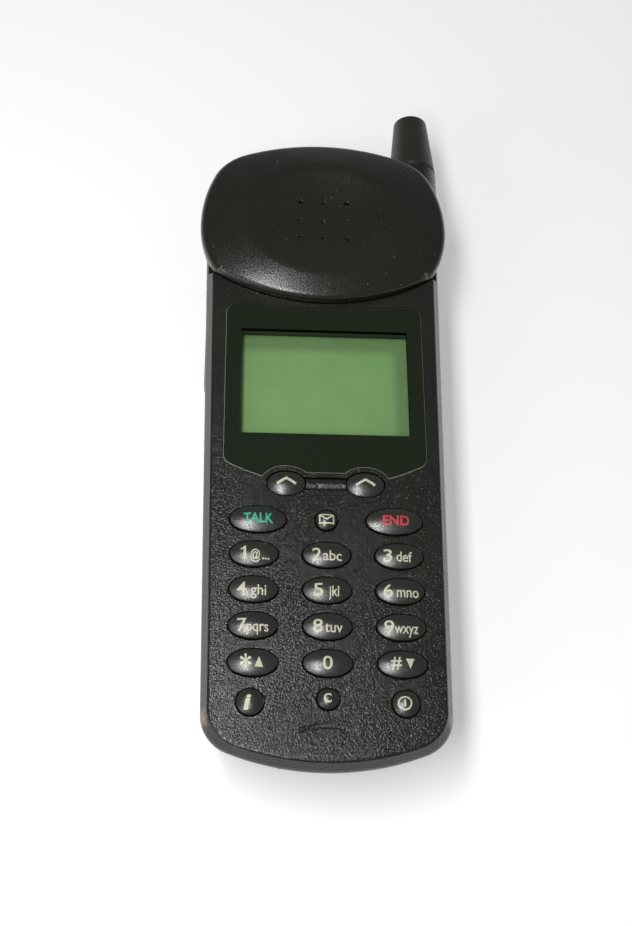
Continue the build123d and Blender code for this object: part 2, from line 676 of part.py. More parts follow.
def chin_marks():
    """Cuts at the chin: the thumb-nail groove, the microphone slit and two dimples beside it."""
    groove_y = BOTTOM + GROOVE_FROM_CHIN
    section_r = ((GROOVE_WIDTH / 2) ** 2 + GROOVE_DEPTH ** 2) / (2 * GROOVE_DEPTH)
    centre = Pos(0, groove_y - GROOVE_ARC_R, FACE - GROOVE_DEPTH + section_r)
    groove = centre * Torus(GROOVE_ARC_R, section_r)
    # A large ball ends the groove: it lets the cut run out to nothing on both sides.
    ball_r = (GROOVE_HALF ** 2 + GROOVE_DEPTH ** 2) / (2 * GROOVE_DEPTH)
    ball_z = FACE - GROOVE_DEPTH - GROOVE_END_SINK + ball_r
    groove &= Pos(0, groove_y, ball_z) * Sphere(ball_r)
    groove &= slab(CEILING, FACE + GROOVE_DEPTH, groove_y - GROOVE_HALF, groove_y + GROOVE_WIDTH)
    slit_y = BOTTOM + MIC_SLIT_FROM_CHIN
    slit = box_at(0, slit_y, (CEILING - BITE, FACE + 1), *MIC_SLIT)
    dimple_r = (DIMPLE_R ** 2 + DIMPLE_DEPTH ** 2) / (2 * DIMPLE_DEPTH)
    dimple = Pos(0, slit_y, FACE - DIMPLE_DEPTH + dimple_r) * Sphere(dimple_r)
    return [groove, slit] + [Pos(x, 0, 0) * dimple for x in (-DIMPLE_X, DIMPLE_X)]


def key_holes():
    """A bevelled hole for each key; the soft keys' holes lie in their pocket."""
    holes = []
    for name, (x, y, size) in KEYS.items():
        hole = Pos(x, y) * oval(size, KEY_GAP)
        holes.append(prism(hole, CEILING - 1, FACE + 1))
        if not name.startswith("softkey"):
            wide = Pos(x, y) * oval(size, KEY_GAP + HOLE_EDGE)
            levels = [Pos(0, 0, FACE - HOLE_EDGE) * hole, Pos(0, 0, FACE) * wide]
            holes.append(loft(levels, ruled=True))
    return holes


def build_front_housing(envelope):
    """The face, with its runway for the head, window recess, key holes, bosses and bores."""
    shell = envelope & slab(PARTING_Z, FACE + 1)
    shell -= prism(head_zone(STEP_GAP), RUNWAY, FACE + 1)
    shell -= front_cavity()
    # A thicker ledge round the display carries the window.
    ledge_low = SOFT_ROW + KEY_FLANGE_HEIGHT / 2 + GAP
    ledge = prism(window_outline(LEDGE_REACH), LEDGE_Z, CEILING + BITE)
    shell += ledge & slab(LEDGE_Z, FACE, ledge_low)
    shell -= prism(window_outline(SEAT_GAP), FACE - WINDOW_T, FACE + 1)
    shell -= prism(view_opening(), LEDGE_Z - 1, FACE)
    # The soft keys sit in a pocket with a raised lip, and a rounded saddle lies between them.
    pocket_floor = FACE - POCKET_DEPTH
    shell += prism(soft_pocket(), FACE - BITE, FACE + LIP_RISE)
    shell -= prism(soft_pocket(-LIP_WIDTH), pocket_floor, FACE + 1)
    saddle = Pos(0, SOFT_ROW, pocket_floor - SADDLE_DROP) * Rot(0, 90, 0) * Cylinder(SADDLE_R, 2 * SOFT_X)
    shell += saddle & slab(CEILING, FACE + 1)
    shell -= key_holes()
    shell -= slide_slots()
    shell -= chin_marks()
    nub_z = FACE - NUB_R + NUB_RISE
    shell += [Pos(x, LAST_ROW + 2 * ROW, nub_z) * Sphere(NUB_R) for x in (-COLUMN / 2, COLUMN / 2)]
    # Screw bosses, the whip's channel and the bushing's bore.
    for x, y in SCREWS:
        top = RUNWAY_CEILING if y > HEAD_LOW else CEILING
        shell += rod(BOSS_R, x, y, PARTING_Z, top + BITE)
        shell -= rod(SCREW_R + SCREW_THREAD_GAP, x, y, PARTING_Z - 1, PARTING_Z + SCREW_LENGTH)
    shell -= antenna_bores()
    shell = add_rocker_seat(shell)
    return shell - connector_opening()


def antenna_bores():
    """The bushing's bore in the boss and the whip's channel down the right side."""
    channel_low = BUSHING_LOW - WHIP_TRAVEL - COLLAR_LENGTH - CHANNEL_END
    bore = rod_y(BUSHING_R + BUSHING_SEAT_GAP, ANTENNA_X, ANTENNA_Z, BUSHING_LOW, BOSS_END + 1)
    channel = rod_y(CHANNEL_R, ANTENNA_X, ANTENNA_Z, channel_low, BUSHING_LOW + 1)
    return [bore, channel]


def connector_opening():
    """The slot in the chin for the system connector, across the parting line."""
    half_z = CONNECTOR_SIZE[1] / 2 + GAP
    height = (CONNECTOR_Z - half_z, CONNECTOR_Z + half_z)
    return box_at(0, BOTTOM, height, CONNECTOR_SIZE[0] + 2 * GAP, 2 * BACK_CHIN_IN)


def add_rocker_seat(shell):
    """The slot in the left side and the two bores that the rocker turns in."""
    half_y, half_z = ROCKER_LENGTH / 2 + ROCKER_END_GAP, ROCKER_HEIGHT / 2 + GAP
    pad_z = half_z + ROCKER_PAD
    pad_y = ROCKER_WEB_LENGTH / 2 - GAP
    pad_x = (TRUNNION_X - TRUNNION_R + GAP, TRUNNION_X + 2 * TRUNNION_R + GAP)
    shell += block(pad_x, (ROCKER_Y - pad_y, ROCKER_Y + pad_y), (ROCKER_Z - pad_z, ROCKER_Z + pad_z))
    slot_x = (ROCKER_X - ROCKER_DEPTH, ROCKER_X + ROCKER_DEPTH + ROCKER_PROUD)
    shell -= block(slot_x, (ROCKER_Y - half_y, ROCKER_Y + half_y), (ROCKER_Z - half_z, ROCKER_Z + half_z))
    reach = half_z + TRUNNION_REACH + SEAT_GAP
    return shell - rod(TRUNNION_R + TRUNNION_GAP, TRUNNION_X, ROCKER_Y, ROCKER_Z - reach, ROCKER_Z + reach)


def build_rear_housing(envelope):
    """The back: the battery's bay and hooks, the board's posts, the screws' wells."""
    shell = envelope & slab(-1, PARTING_Z)
    shell -= slab(-1, DECK_Z, -FAR, BAY_TOP)
    hollow = body_block(FLOOR_Z, PARTING_Z, WALL)
    upper = body_block(WALL, FLOOR_Z, WALL)
    upper = fillet(edges_at(upper, WALL), BACK_EDGE_R - WALL)
    upper &= slab(-1, PARTING_Z, BAY_TOP + WALL, FAR)
    shell -= hollow
    shell -= upper
    for x, y in SCREWS:
        over_bay = y < BAY_TOP
        low = FLOOR_Z if over_bay else 0
        radius = BOSS_R if over_bay else SCREW_HEAD_R + GAP + WELL_WALL
        shell += rod(radius, x, y, low, PARTING_Z) & body_block(low, PARTING_Z, WALL / 2)
        shell -= rod(SCREW_R + SEAT_GAP, x, y, FLOOR_Z - 1, PARTING_Z + 1)
        shell -= rod(SCREW_HEAD_R + GAP, x, y, -1, FLOOR_Z)
    # Posts that carry the board and the catch's leaf.
    for x, y in POSTS:
        low = FLOOR_Z if y < BAY_TOP else WALL
        shell += rod(POST_R, x, y, low - BITE, BOARD_LOW)
    shell += rod(POST_R, 0, LEAF_POST_Y, WALL - BITE, FLOOR_Z)
    shell += battery_hooks()
    # Holes for the catch, the battery contacts and the release button.
    through = (DECK_Z - 1, FLOOR_Z + 1)
    shell -= box_at(0, CATCH_Y, through, *[size + 2 * CATCH_HOLE_GAP for size in (CATCH_WIDTH, CATCH_NOSE)])
    shell -= box_at(0, CONTACT_Y, through, *[size + 2 * CONTACT_HOLE_GAP for size in CONTACT_HOUSING])
    slot_length = BUTTON_SIZE[1] + BUTTON_TRAVEL + 2 * GAP
    shell -= box_at(0, BUTTON_Y + BUTTON_TRAVEL / 2, (-1, WALL + 1), BUTTON_SIZE[0] + 2 * GAP, slot_length)
    for step in (-1, 0, 1):
        shell -= rod(RINGER_HOLE_R, RINGER_X + step * RINGER_HOLE_PITCH, RINGER_Y, -1, WALL + BITE)
    shell -= antenna_bores()
    return shell - connector_opening()


def battery_hooks():
    """The four L-shaped hooks under the deck that the battery slides onto."""
    hooks = []
    for side in (-1, 1):
        for y in HOOK_ROWS:
            span = (y - HOOK_LENGTH / 2, y + HOOK_LENGTH / 2)
            leg = sorted((side * HOOK_X, side * (HOOK_X + HOOK_LEG)))
            toe = sorted((side * HOOK_X, side * (HOOK_X + HOOK_LEG + HOOK_TOE)))
            hooks.append(block(leg, span, (HOOK_LOW, DECK_Z + BITE)))
            hooks.append(block(toe, span, (HOOK_LOW, HOOK_LOW + HOOK_TOE_T)))
    return hooks


def build_display_window():
    """The clear window, bevelled all round."""
    window = prism(window_outline(), FACE - WINDOW_T, FACE)
    return chamfer(edges_at(window, FACE), WINDOW_EDGE)


# ========================================================================================
# Inside the body
# ========================================================================================

def build_main_board():
    """The circuit board, cut back beside the antenna's bushing and round the screw bosses."""
    middle = (BOARD_RIGHT - BOARD_LEFT) / 2
    plate = body_section(BOARD_LOW, WALL + BOARD_EDGE_GAP)
    plate &= Pos(middle, BOARD_TOP - BODY_LENGTH / 2) * Rectangle(BOARD_LEFT + BOARD_RIGHT, BODY_LENGTH)
    board = prism(plate, BOARD_LOW, BOARD_Z)
    cut_x = ANTENNA_X - BUSHING_R - BOARD_CORNER_GAP
    board -= block((cut_x, FAR), (BUSHING_LOW - 2 * BOARD_CORNER_GAP, FAR), (BOARD_LOW - 1, BOARD_Z + 1))
    return board - [rod(BOSS_R + BOSS_GAP, x, y, BOARD_LOW - 1, BOARD_Z + 1) for x, y in SCREWS]


def glass_outline(border=0.0):
    """The display glass's rectangle, with a border all round."""
    return Pos(0, VIEW_Y) * Rectangle(GLASS_WIDTH + 2 * border, GLASS_HEIGHT + 2 * border)


def build_lcd_frame():
    """The frame that holds the display over its light guide."""
    return prism(glass_outline(LCD_FRAME_WALL) - glass_outline(SEAT_GAP), BOARD_Z, LEDGE_Z)


def build_lcd_module():
    """The display glass."""
    return prism(glass_outline(), GUIDE_TOP, LCD_TOP)


def build_light_guide():
    """The back light's plate under the glass."""
    return prism(glass_outline(), BOARD_Z, GUIDE_TOP - SEAT_GAP)


def mat_outline(inset):
    """The keypad mat's outline, drawn in by inset."""
    plate = body_section(MAT_TOP, WALL + MAT_SIDE_GAP + inset)
    low, high = BOTTOM + MAT_FROM_CHIN + inset, SOFT_ROW + MAT_ABOVE_SOFT - inset
    return plate & Pos(0, (low + high) / 2) * Rectangle(2 * (BOARD_RIGHT - inset), high - low)


def boss_clearances(low, high):
    """Room for the screw bosses."""
    return [rod(BOSS_R + BOSS_GAP, x, y, low, high) for x, y in SCREWS]


def build_keypad_mat():
    """The rubber mat, standing on a rib round its edge and bored for the keys' stems."""
    slab_part = prism(mat_outline(0), MAT_TOP - MAT_T, MAT_TOP)
    rib = prism(mat_outline(0) - mat_outline(MAT_RIB), BOARD_Z, MAT_TOP)
    mat = slab_part + rib
    mat -= [rod(KEY_STEM_R + BOSS_GAP, x, y, BOARD_Z, FACE) for x, y, size in KEYS.values()]
    return mat - boss_clearances(0, FACE)


def build_dome_sheet():
    """The foil with a snap dome under each key."""
    sheet = prism(mat_outline(MAT_RIB + GAP), BOARD_Z, BOARD_Z + DOME_SHEET_T)
    sheet -= boss_clearances(0, FACE)
    for x, y, size in KEYS.values():
        sheet += Pos(x, y, BOARD_Z + DOME_SHEET_T + DOME_T / 2) * Cone(DOME_R, DOME_TOP_R, DOME_T)
    return sheet


def build_rf_shield():
    """The radio's metal can, open towards the board."""
    width, length, height = RF_CAN
    y = HEAD_LOW + RF_CAN_ABOVE_LOW + length / 2
    top = BOARD_Z + height
    inside = box_at(0, y, (BOARD_Z - 1, top - CAN_WALL), width - 2 * CAN_WALL, length - 2 * CAN_WALL)
    return box_at(0, y, (BOARD_Z, top), width, length) - inside


def build_logic_shield():
    """The logic's metal can under the board."""
    width, length = LOGIC_CAN
    y = BOTTOM + LOGIC_CAN_FROM_CHIN + length / 2
    low = FLOOR_Z + LOGIC_CAN_FLOOR_GAP
    inside = box_at(0, y, (low + CAN_WALL, FACE), width - 2 * CAN_WALL, length - 2 * CAN_WALL)
    return box_at(0, y, (low, BOARD_LOW), width, length) - inside


def build_microphone():
    """The microphone capsule behind the slit."""
    top = CEILING - GAP
    return rod(MIC_R, 0, BOTTOM + MIC_FROM_CHIN, top - MIC_T, top)


def build_mic_boot():
    """The rubber boot that holds the microphone off the board."""
    y, low = BOTTOM + MIC_FROM_CHIN, CEILING - GAP - MIC_T
    return rod(MIC_R + MIC_BOOT_WALL, 0, y, BOARD_Z, CEILING - SEAT_GAP) - rod(MIC_R, 0, y, low, CEILING)


def build_system_connector():
    """The connector at the chin: a slotted nose with a tongue, and the body under the board."""
    width, height = CONNECTOR_SIZE
    face_y = BOTTOM + BACK_CHIN_IN * (1 - CONNECTOR_Z / WAIST_Z) + CONNECTOR_SET_BACK
    wall_y = face_y + WALL + sagitta(CHIN_ARC_R, width / 2) + CONNECTOR_WALL_GAP
    slot_width = width - 2 * CONNECTOR_SHELL
    slot_end = face_y + CONNECTOR_SLOT_DEPTH
    nose = connector_bar(width, height, (face_y, wall_y + BITE))
    nose -= connector_bar(slot_width, CONNECTOR_SLOT_HEIGHT, (BOTTOM, slot_end))
    tongue_width = slot_width - 2 * CONNECTOR_SHELL
    tongue = connector_bar(tongue_width, CONNECTOR_TONGUE_T, (face_y + GAP, slot_end + BITE))
    half_x = width / 2 + CONNECTOR_SHELL
    body_low = CONNECTOR_Z - height / 2 - CONNECTOR_LIP
    body = block((-half_x, half_x), (wall_y, face_y + CONNECTOR_DEPTH), (body_low, BOARD_LOW))
    return nose + tongue + body


def connector_bar(width, height, y):
    """A bar centred on the connector's axis."""
    return block((-width / 2, width / 2), y, (CONNECTOR_Z - height / 2, CONNECTOR_Z + height / 2))


def build_ringer():
    """The buzzer behind its holes in the back."""
    case = rod(RINGER_R, RINGER_X, RINGER_Y, WALL, WALL + RINGER_T)
    return chamfer(edges_at(case, WALL + RINGER_T), EDGE_BREAK)


def build_battery_contacts():
    """The contact block under the board, with its blades through the deck."""
    housing = box_at(0, CONTACT_Y, (FLOOR_Z + CONTACT_HOUSING_GAP, BOARD_LOW), *CONTACT_HOUSING)
    height = (BATTERY_T + CONTACT_FREE, FLOOR_Z + CONTACT_HOUSING_GAP + BITE)
    return housing + [box_at(x, CONTACT_Y, height, *CONTACT_SIZE) for x in CONTACT_XS]


def build_volume_switch():
    """The double switch on the board that the rocker presses."""
    depth, length, height = SWITCH_SIZE
    x = ROCKER_X - ROCKER_PROUD + ROCKER_DEPTH + SWITCH_GAP
    case = block((x, x + depth), (ROCKER_Y - length / 2, ROCKER_Y + length / 2), (BOARD_Z, BOARD_Z + height))
    plunger = Rot(0, 90, 0) * Cylinder(PLUNGER_R, PLUNGER_LENGTH)
    return case + [Pos(x, ROCKER_Y + way * PLUNGER_Y, BOARD_Z + height / 2) * plunger for way in (-1, 1)]


def build_body_flex():
    """The flat cable's lower run: from the board up to the slit under the head."""
    riser = box_at(0, FLEX_Y, (BOARD_Z, RUNWAY + BITE), FLEX_WIDTH, FLEX_T)
    foot = block((-FLEX_WIDTH / 2, FLEX_WIDTH / 2), (FLEX_Y, FLEX_Y + FLEX_FOOT), (BOARD_Z, BOARD_Z + FLEX_T))
    return riser + foot


def build_housing_screws():
    """The four housing screws, with their sockets."""
    return [screw_solid(x, y) for x, y in SCREWS]


def screw_solid(x, y):
    """One housing screw with its head in the deck's well."""
    head_low = FLOOR_Z - SCREW_HEAD_T
    head = rod(SCREW_HEAD_R, x, y, head_low, FLOOR_Z)
    head -= rod(SCREW_SOCKET_R, x, y, head_low - 1, head_low + SCREW_SOCKET_DEPTH)
    return head + rod(SCREW_R, x, y, FLOOR_Z - BITE, FLOOR_Z + SCREW_LENGTH)


# ========================================================================================
# Sliding head
# ========================================================================================

def dish_height(x, y):
    """Height of the dish's skin at a place on the head."""
    radius = DISH_RY - sagitta(DISH_RX, x)
    return FACE + DISH_FLOOR + DISH_RY - sqrt(radius ** 2 - (y - HEAD_MID) ** 2)


def build_head_cover():
    """The doubly curved cover: rolled edges, the earpiece's dish and its nine flared holes."""
    crown = barrel(FACE + CROWN_PEAK, CROWN_RX, CROWN_RY, HEAD_WIDTH / 2 + WALL, HEAD_MID)
    cover = prism(head_section(), SEAM_Z, FACE + CROWN_PEAK) & crown
    cover = fillet(edges_above(cover, FACE), HEAD_ROLL_R)
    cover -= barrel(FACE + DISH_FLOOR, DISH_RX, DISH_RY, HEAD_WIDTH / 2, HEAD_MID, hollow=True)
    starts = [(e, e @ 0) for e in cover.edges()]
    rim = [e for e, p in starts if abs(p.Z - dish_height(p.X, p.Y)) < NEAR]
    cover = fillet(rim, DISH_RIM_R)
    cover -= prism(head_section(HEAD_WALL), SEAM_Z - 1, DISH_CEILING)
    holes = []
    for row in (-1, 0, 1):
        for column in (-1, 0, 1):
            x, y = column * SOUND_PITCH_X, HEAD_MID + row * SOUND_PITCH_Y
            holes.append(rod(SOUND_HOLE_R, x, y, SEAM_Z, FACE + CROWN_PEAK))
            flare = Cone(SOUND_HOLE_R, SOUND_HOLE_R + 2 * SOUND_FLARE, 2 * SOUND_FLARE)
            holes.append(Pos(x, y, dish_height(x, y)) * flare)
    return cover - holes


def build_head_tray():
    """The head's floor, with its two feet through the runway and the flex's window."""
    tray = prism(head_section(SEAM_STEP), TRAY_Z, SEAM_Z)
    tray -= prism(head_section(HEAD_WALL), TRAY_Z + TRAY_FLOOR_T, FACE)
    half = FLEX_WIDTH / 2 + FLEX_SIDE_GAP
    tray -= block((-half, half), flex_window(), (TRAY_Z - 1, FACE))
    for x in (-FOOT_X, FOOT_X):
        tray += box_at(x, FOOT_Y, (SHOE_TOP, TRAY_Z + BITE), FOOT_WIDTH, FOOT_LENGTH)
        tray -= rod(FOOT_BORE_R, x, FOOT_Y, SHOE_TOP - 1, TRAY_Z + TRAY_FLOOR_T / 2)
    return tray


def flex_window():
    """The stretch of the tray that the flex rolls in."""
    return FLEX_Y - HEAD_TRAVEL + FLEX_ROLL_GAP, FLEX_Y + FLEX_ROLL_GAP


def build_receiver():
    """The earpiece's capsule."""
    return rod(RECEIVER_R, 0, HEAD_MID, TRAY_Z + TRAY_FLOOR_T, DISH_CEILING - RECEIVER_GASKET_T)


def build_receiver_gasket():
    """The ring that seals the capsule to the cover."""
    low = DISH_CEILING - RECEIVER_GASKET_T
    ring = rod(RECEIVER_R, 0, HEAD_MID, low, DISH_CEILING)
    return ring - rod(RECEIVER_R - RECEIVER_GASKET_WIDTH, 0, HEAD_MID, low - 1, DISH_CEILING + 1)


def build_slide_shoe(side):
    """The plate under one foot that keeps the head on its rail."""
    x = side * FOOT_X
    shoe = box_at(x, FOOT_Y, (SHOE_LOW, SHOE_TOP), SHOE_WIDTH, SHOE_LENGTH)
    shoe -= rod(SLIDE_SCREW_R + SEAT_GAP, x, FOOT_Y, 0, FACE)
    if side < 0:
        shoe -= rod(DETENT_R + GAP, DETENT_X, FOOT_Y, 0, FACE)
    return shoe


def build_slide_screws():
    """The two screws that hold the shoes to the feet."""
    screws = []
    for x in (-FOOT_X, FOOT_X):
        head = rod(SLIDE_SCREW_HEAD_R, x, FOOT_Y, SHOE_LOW - SLIDE_SCREW_HEAD_T, SHOE_LOW)
        screws.append(head + rod(SLIDE_SCREW_R, x, FOOT_Y, SHOE_LOW - BITE, TRAY_Z + TRAY_FLOOR_T / 3))
    return screws


def build_guide_rails():
    """The two hooked rails under the runway that the shoes run on."""
    span = (FOOT_Y - SHOE_LENGTH / 2 - RAIL_END, FOOT_Y + SHOE_LENGTH / 2 + HEAD_TRAVEL + RAIL_END / 2)
    inner = FOOT_X + SHOE_WIDTH / 2 + GAP
    lip_top = SHOE_LOW - GAP
    rails = []
    for side in (-1, 1):
        web = sorted((side * inner, side * (inner + RAIL_WIDTH)))
        lip = sorted((side * (inner - RAIL_LIP), side * (inner + BITE)))
        rail = block(web, span, (lip_top - RAIL_LIP_T, RUNWAY_CEILING))
        rails.append(rail + block(lip, span, (lip_top - RAIL_LIP_T, lip_top)))
    return rails


def build_detent_spring():
    """The leaf whose two bumps hold the head down or up."""
    x = DETENT_X + DETENT_R - BITE
    span = (FOOT_Y - SHOE_LENGTH / 2 - RAIL_END / 2, FOOT_Y + SHOE_LENGTH / 2 + HEAD_TRAVEL)
    leaf = block((x, x + DETENT_T), span, (SHOE_LOW, RUNWAY_CEILING))
    return leaf + [rod(DETENT_R, DETENT_X, FOOT_Y + move, SHOE_LOW, RUNWAY_CEILING - GAP)
                   for move in (0, HEAD_TRAVEL)]


def build_head_flex():
    """The flat cable's upper run: a flat loop in the tray's window, up to the receiver."""
    y_low, y_high = flex_window()
    bend_y = y_low + FLEX_ROLL_GAP
    low = TRAY_Z + FLEX_LIFT
    high = TRAY_Z + TRAY_FLOOR_T + FLEX_LIFT
    across = (-FLEX_WIDTH / 2, FLEX_WIDTH / 2)
    lower = block(across, (bend_y, y_high - FLEX_ROLL_GAP - FLEX_T), (low, low + FLEX_T))
    turn = block(across, (bend_y - FLEX_T, bend_y), (low, high + FLEX_T))
    upper = block(across, (bend_y, HEAD_MID - RECEIVER_R - SEAT_GAP), (high, high + FLEX_T))
    return lower + turn + upper


# ========================================================================================
# Antenna, battery and side controls
# ========================================================================================

def build_antenna_cap():
    """The tapered stub with its domed end, bored for the whip."""
    low, high = BOSS_END + GAP, BOSS_END + GAP + STUB_LENGTH
    shoulder_y = high - STUB_DOME
    dome_r = (STUB_HIGH_R ** 2 + STUB_DOME ** 2) / (2 * STUB_DOME)
    half_r = STUB_HIGH_R / 2
    profile = make_face([
        Line((0, low), (STUB_LOW_R - EDGE_BREAK, low)),
        Line((STUB_LOW_R - EDGE_BREAK, low), (STUB_LOW_R, low + EDGE_BREAK)),
        Line((STUB_LOW_R, low + EDGE_BREAK), (STUB_HIGH_R, shoulder_y)),
        ThreePointArc((STUB_HIGH_R, shoulder_y), (half_r, high - sagitta(dome_r, half_r)), (0, high)),
        Line((0, high), (0, low)),
    ])
    stub = revolve(profile, Axis.Y)
    rims = stub.edges().filter_by(GeomType.CIRCLE)
    stub = fillet([e for e in rims if abs(e.center().Y - shoulder_y) < NEAR], STUB_SHOULDER_R)
    stub = Pos(ANTENNA_X, 0, ANTENNA_Z) * stub
    return stub - rod_y(WHIP_R, ANTENNA_X, ANTENNA_Z, low - 1, low + STUB_LENGTH / 2)


def build_antenna_whip():
    """The pull-out rod, with the collar that stops it at the bushing."""
    low = BUSHING_LOW - WHIP_TRAVEL - COLLAR_LENGTH - WHIP_END_GAP
    whip = rod_y(WHIP_R, ANTENNA_X, ANTENNA_Z, low, BOSS_END + GAP + STUB_LENGTH / 2)
    return whip + rod_y(COLLAR_R, ANTENNA_X, ANTENNA_Z, low, low + COLLAR_LENGTH)


def build_antenna_bushing():
    """The metal bushing that the whip runs through."""
    body = rod_y(BUSHING_R, ANTENNA_X, ANTENNA_Z, BUSHING_LOW, BOSS_END)
    return body - rod_y(WHIP_R + WHIP_RUN_GAP, ANTENNA_X, ANTENNA_Z, BUSHING_LOW - 1, BOSS_END + 1)


def build_antenna_contact():
    """The spring that joins the board to the bushing."""
    width, length = SPRING_SIZE
    x = ANTENNA_X - BUSHING_R - SPRING_GAP
    y = BUSHING_LOW - length
    foot = block((x - width, x), (y - SPRING_OVERLAP, y + length / 2), (BOARD_Z, BOARD_Z + SPRING_T))
    arm = block((x - SPRING_T, x), (y - SPRING_OVERLAP, BUSHING_LOW + SPRING_OVERLAP),
                (BOARD_Z, BOARD_Z + SPRING_HEIGHT))
    return foot + arm


def build_battery_case(envelope):
    """The battery's outer shell, which carries on the body's form."""
    case = envelope & slab(-1, LID_Z, -FAR, BATTERY_TOP)
    inside = body_block(BATTERY_WALL, BATTERY_T + 1, BATTERY_WALL)
    inside = fillet(edges_at(inside, BATTERY_WALL), BACK_EDGE_R - BATTERY_WALL)
    return case - (inside & slab(-1, BATTERY_T + 1, -FAR, BATTERY_TOP - BATTERY_WALL))


def build_battery_lid(envelope):
    """The battery's inner face: L-shaped slots for the hooks, the catch's pocket, the pads' seats."""
    lid = envelope & slab(LID_Z, BATTERY_T, -FAR, BATTERY_TOP)
    through = (0, BATTERY_T + 1)
    for side in (-1, 1):
        near = side * (HOOK_X - GAP)
        leg = sorted((near, side * (HOOK_X + HOOK_LEG + GAP)))
        wide = sorted((near, side * (HOOK_X + HOOK_LEG + HOOK_TOE + GAP)))
        for y in HOOK_ROWS:
            low, high = y - HOOK_LENGTH / 2 - GAP, y + HOOK_LENGTH / 2 + GAP
            lid -= block(leg, (low, high + BATTERY_TRAVEL), through)
            lid -= block(wide, (low + BATTERY_TRAVEL, high + BATTERY_TRAVEL), through)
    lid -= box_at(0, CATCH_Y, through, CATCH_WIDTH + 2 * CATCH_POCKET_GAP, CATCH_NOSE + 2 * CATCH_POCKET_GAP)
    seat = (BATTERY_T - CONTACT_PAD_DEPTH, BATTERY_T + 1)
    return lid - [box_at(x, CONTACT_Y, seat, *CONTACT_PAD) for x in CONTACT_XS]


def build_battery_terminals():
    """The three gold pads in the battery's lid."""
    low = BATTERY_T - CONTACT_PAD_DEPTH
    return [box_at(x, CONTACT_Y, (low, low + CONTACT_PAD_T), *CONTACT_PAD) for x in CONTACT_XS]


def build_battery_cells():
    """The cells, side by side in the case."""
    low = BOTTOM + BACK_CHIN_IN + BACK_EDGE_R + CELL_END_GAP
    high = CATCH_Y - CATCH_NOSE - EDGE_BREAK
    pitch = (high - low) / CELLS
    height = (BATTERY_WALL + SEAT_GAP, BATTERY_WALL + SEAT_GAP + CELL_T)
    return [box_at(0, low + (i + 0.5) * pitch, height, 2 * CELL_HALF_WIDTH, pitch - CELL_GAP)
            for i in range(CELLS)]


def build_catch_spring():
    """The leaf on the deck whose nose drops through it into the battery's lid."""
    across = (-CATCH_WIDTH / 2, CATCH_WIDTH / 2)
    tab_y = BUTTON_Y + TAB_FROM_BUTTON
    nose_low, nose_high = CATCH_Y - CATCH_NOSE / 2, CATCH_Y + CATCH_NOSE / 2
    leaf = block(across, (nose_low, LEAF_POST_Y + POST_R), (FLOOR_Z, FLOOR_Z + LEAF_T))
    nose = block(across, (nose_low, nose_high), (LID_Z + BITE, FLOOR_Z + BITE))
    tab = block(across, (tab_y, tab_y + LEAF_T), (FLOOR_Z - TAB_DROP, FLOOR_Z + BITE))
    return leaf + nose + tab


def build_release_button():
    """The slider on the back, with the stem whose ramp lifts the catch."""
    width, length = BUTTON_SIZE
    pad = box_at(0, BUTTON_Y, (BUTTON_SET_BACK, BUTTON_SET_BACK + BUTTON_T), width, length)
    for i in range(GRIPS):
        y = BUTTON_Y + (i - (GRIPS - 1) / 2) * GRIP_PITCH
        depth = (BUTTON_SET_BACK, BUTTON_SET_BACK + GRIP_DEPTH)
        pad -= box_at(0, y, depth, width - 2 * GRIP_END, GRIP_WIDTH)
    flange_size = (width + 2 * BUTTON_FLANGE, length + 2 * (BUTTON_TRAVEL + BUTTON_END_REACH))
    flange = box_at(0, BUTTON_Y, (FLANGE_Z, FLANGE_Z + BUTTON_FLANGE_T), *flange_size)
    ramp = make_face(Polyline(
        (-STEM_BACK, 0), (STEM_FRONT, 0), (STEM_FRONT, RAMP_RISE - RAMP_HEIGHT),
        (-RAMP_TOP_BACK, RAMP_RISE), (-STEM_BACK, RAMP_RISE), close=True))
    stem = extrude(Plane.YZ * ramp, CATCH_WIDTH / 2, both=True)
    return pad + flange + Pos(0, BUTTON_Y, STEM_Z) * stem


def build_volume_rocker():
    """The bar in the left side, with the pin that it rocks on."""
    half_y, half_z = ROCKER_LENGTH / 2, ROCKER_HEIGHT / 2
    outer_x = ROCKER_X - ROCKER_PROUD
    bar = block((outer_x, outer_x + ROCKER_DEPTH), (ROCKER_Y - half_y, ROCKER_Y + half_y),
                (ROCKER_Z - half_z, ROCKER_Z + half_z))
    bar = fillet(bar.edges().filter_by(Axis.Z).sort_by(Axis.X)[:2], ROCKER_END_R)
    # A web between two cuts leaves room for the seats of the pin.
    cut_x = (ROCKER_X + ROCKER_WEB_X, ROCKER_X + ROCKER_DEPTH)
    cut_y = (ROCKER_Y - ROCKER_WEB_LENGTH / 2, ROCKER_Y + ROCKER_WEB_LENGTH / 2)
    bar -= block(cut_x, cut_y, (0, ROCKER_Z - ROCKER_WEB_HEIGHT / 2))
    bar -= block(cut_x, cut_y, (ROCKER_Z + ROCKER_WEB_HEIGHT / 2, FACE))
    reach = half_z + TRUNNION_REACH
    return bar + rod(TRUNNION_R, TRUNNION_X, ROCKER_Y, ROCKER_Z - reach, ROCKER_Z + reach)


# ========================================================================================
# Every node, by name
# ========================================================================================

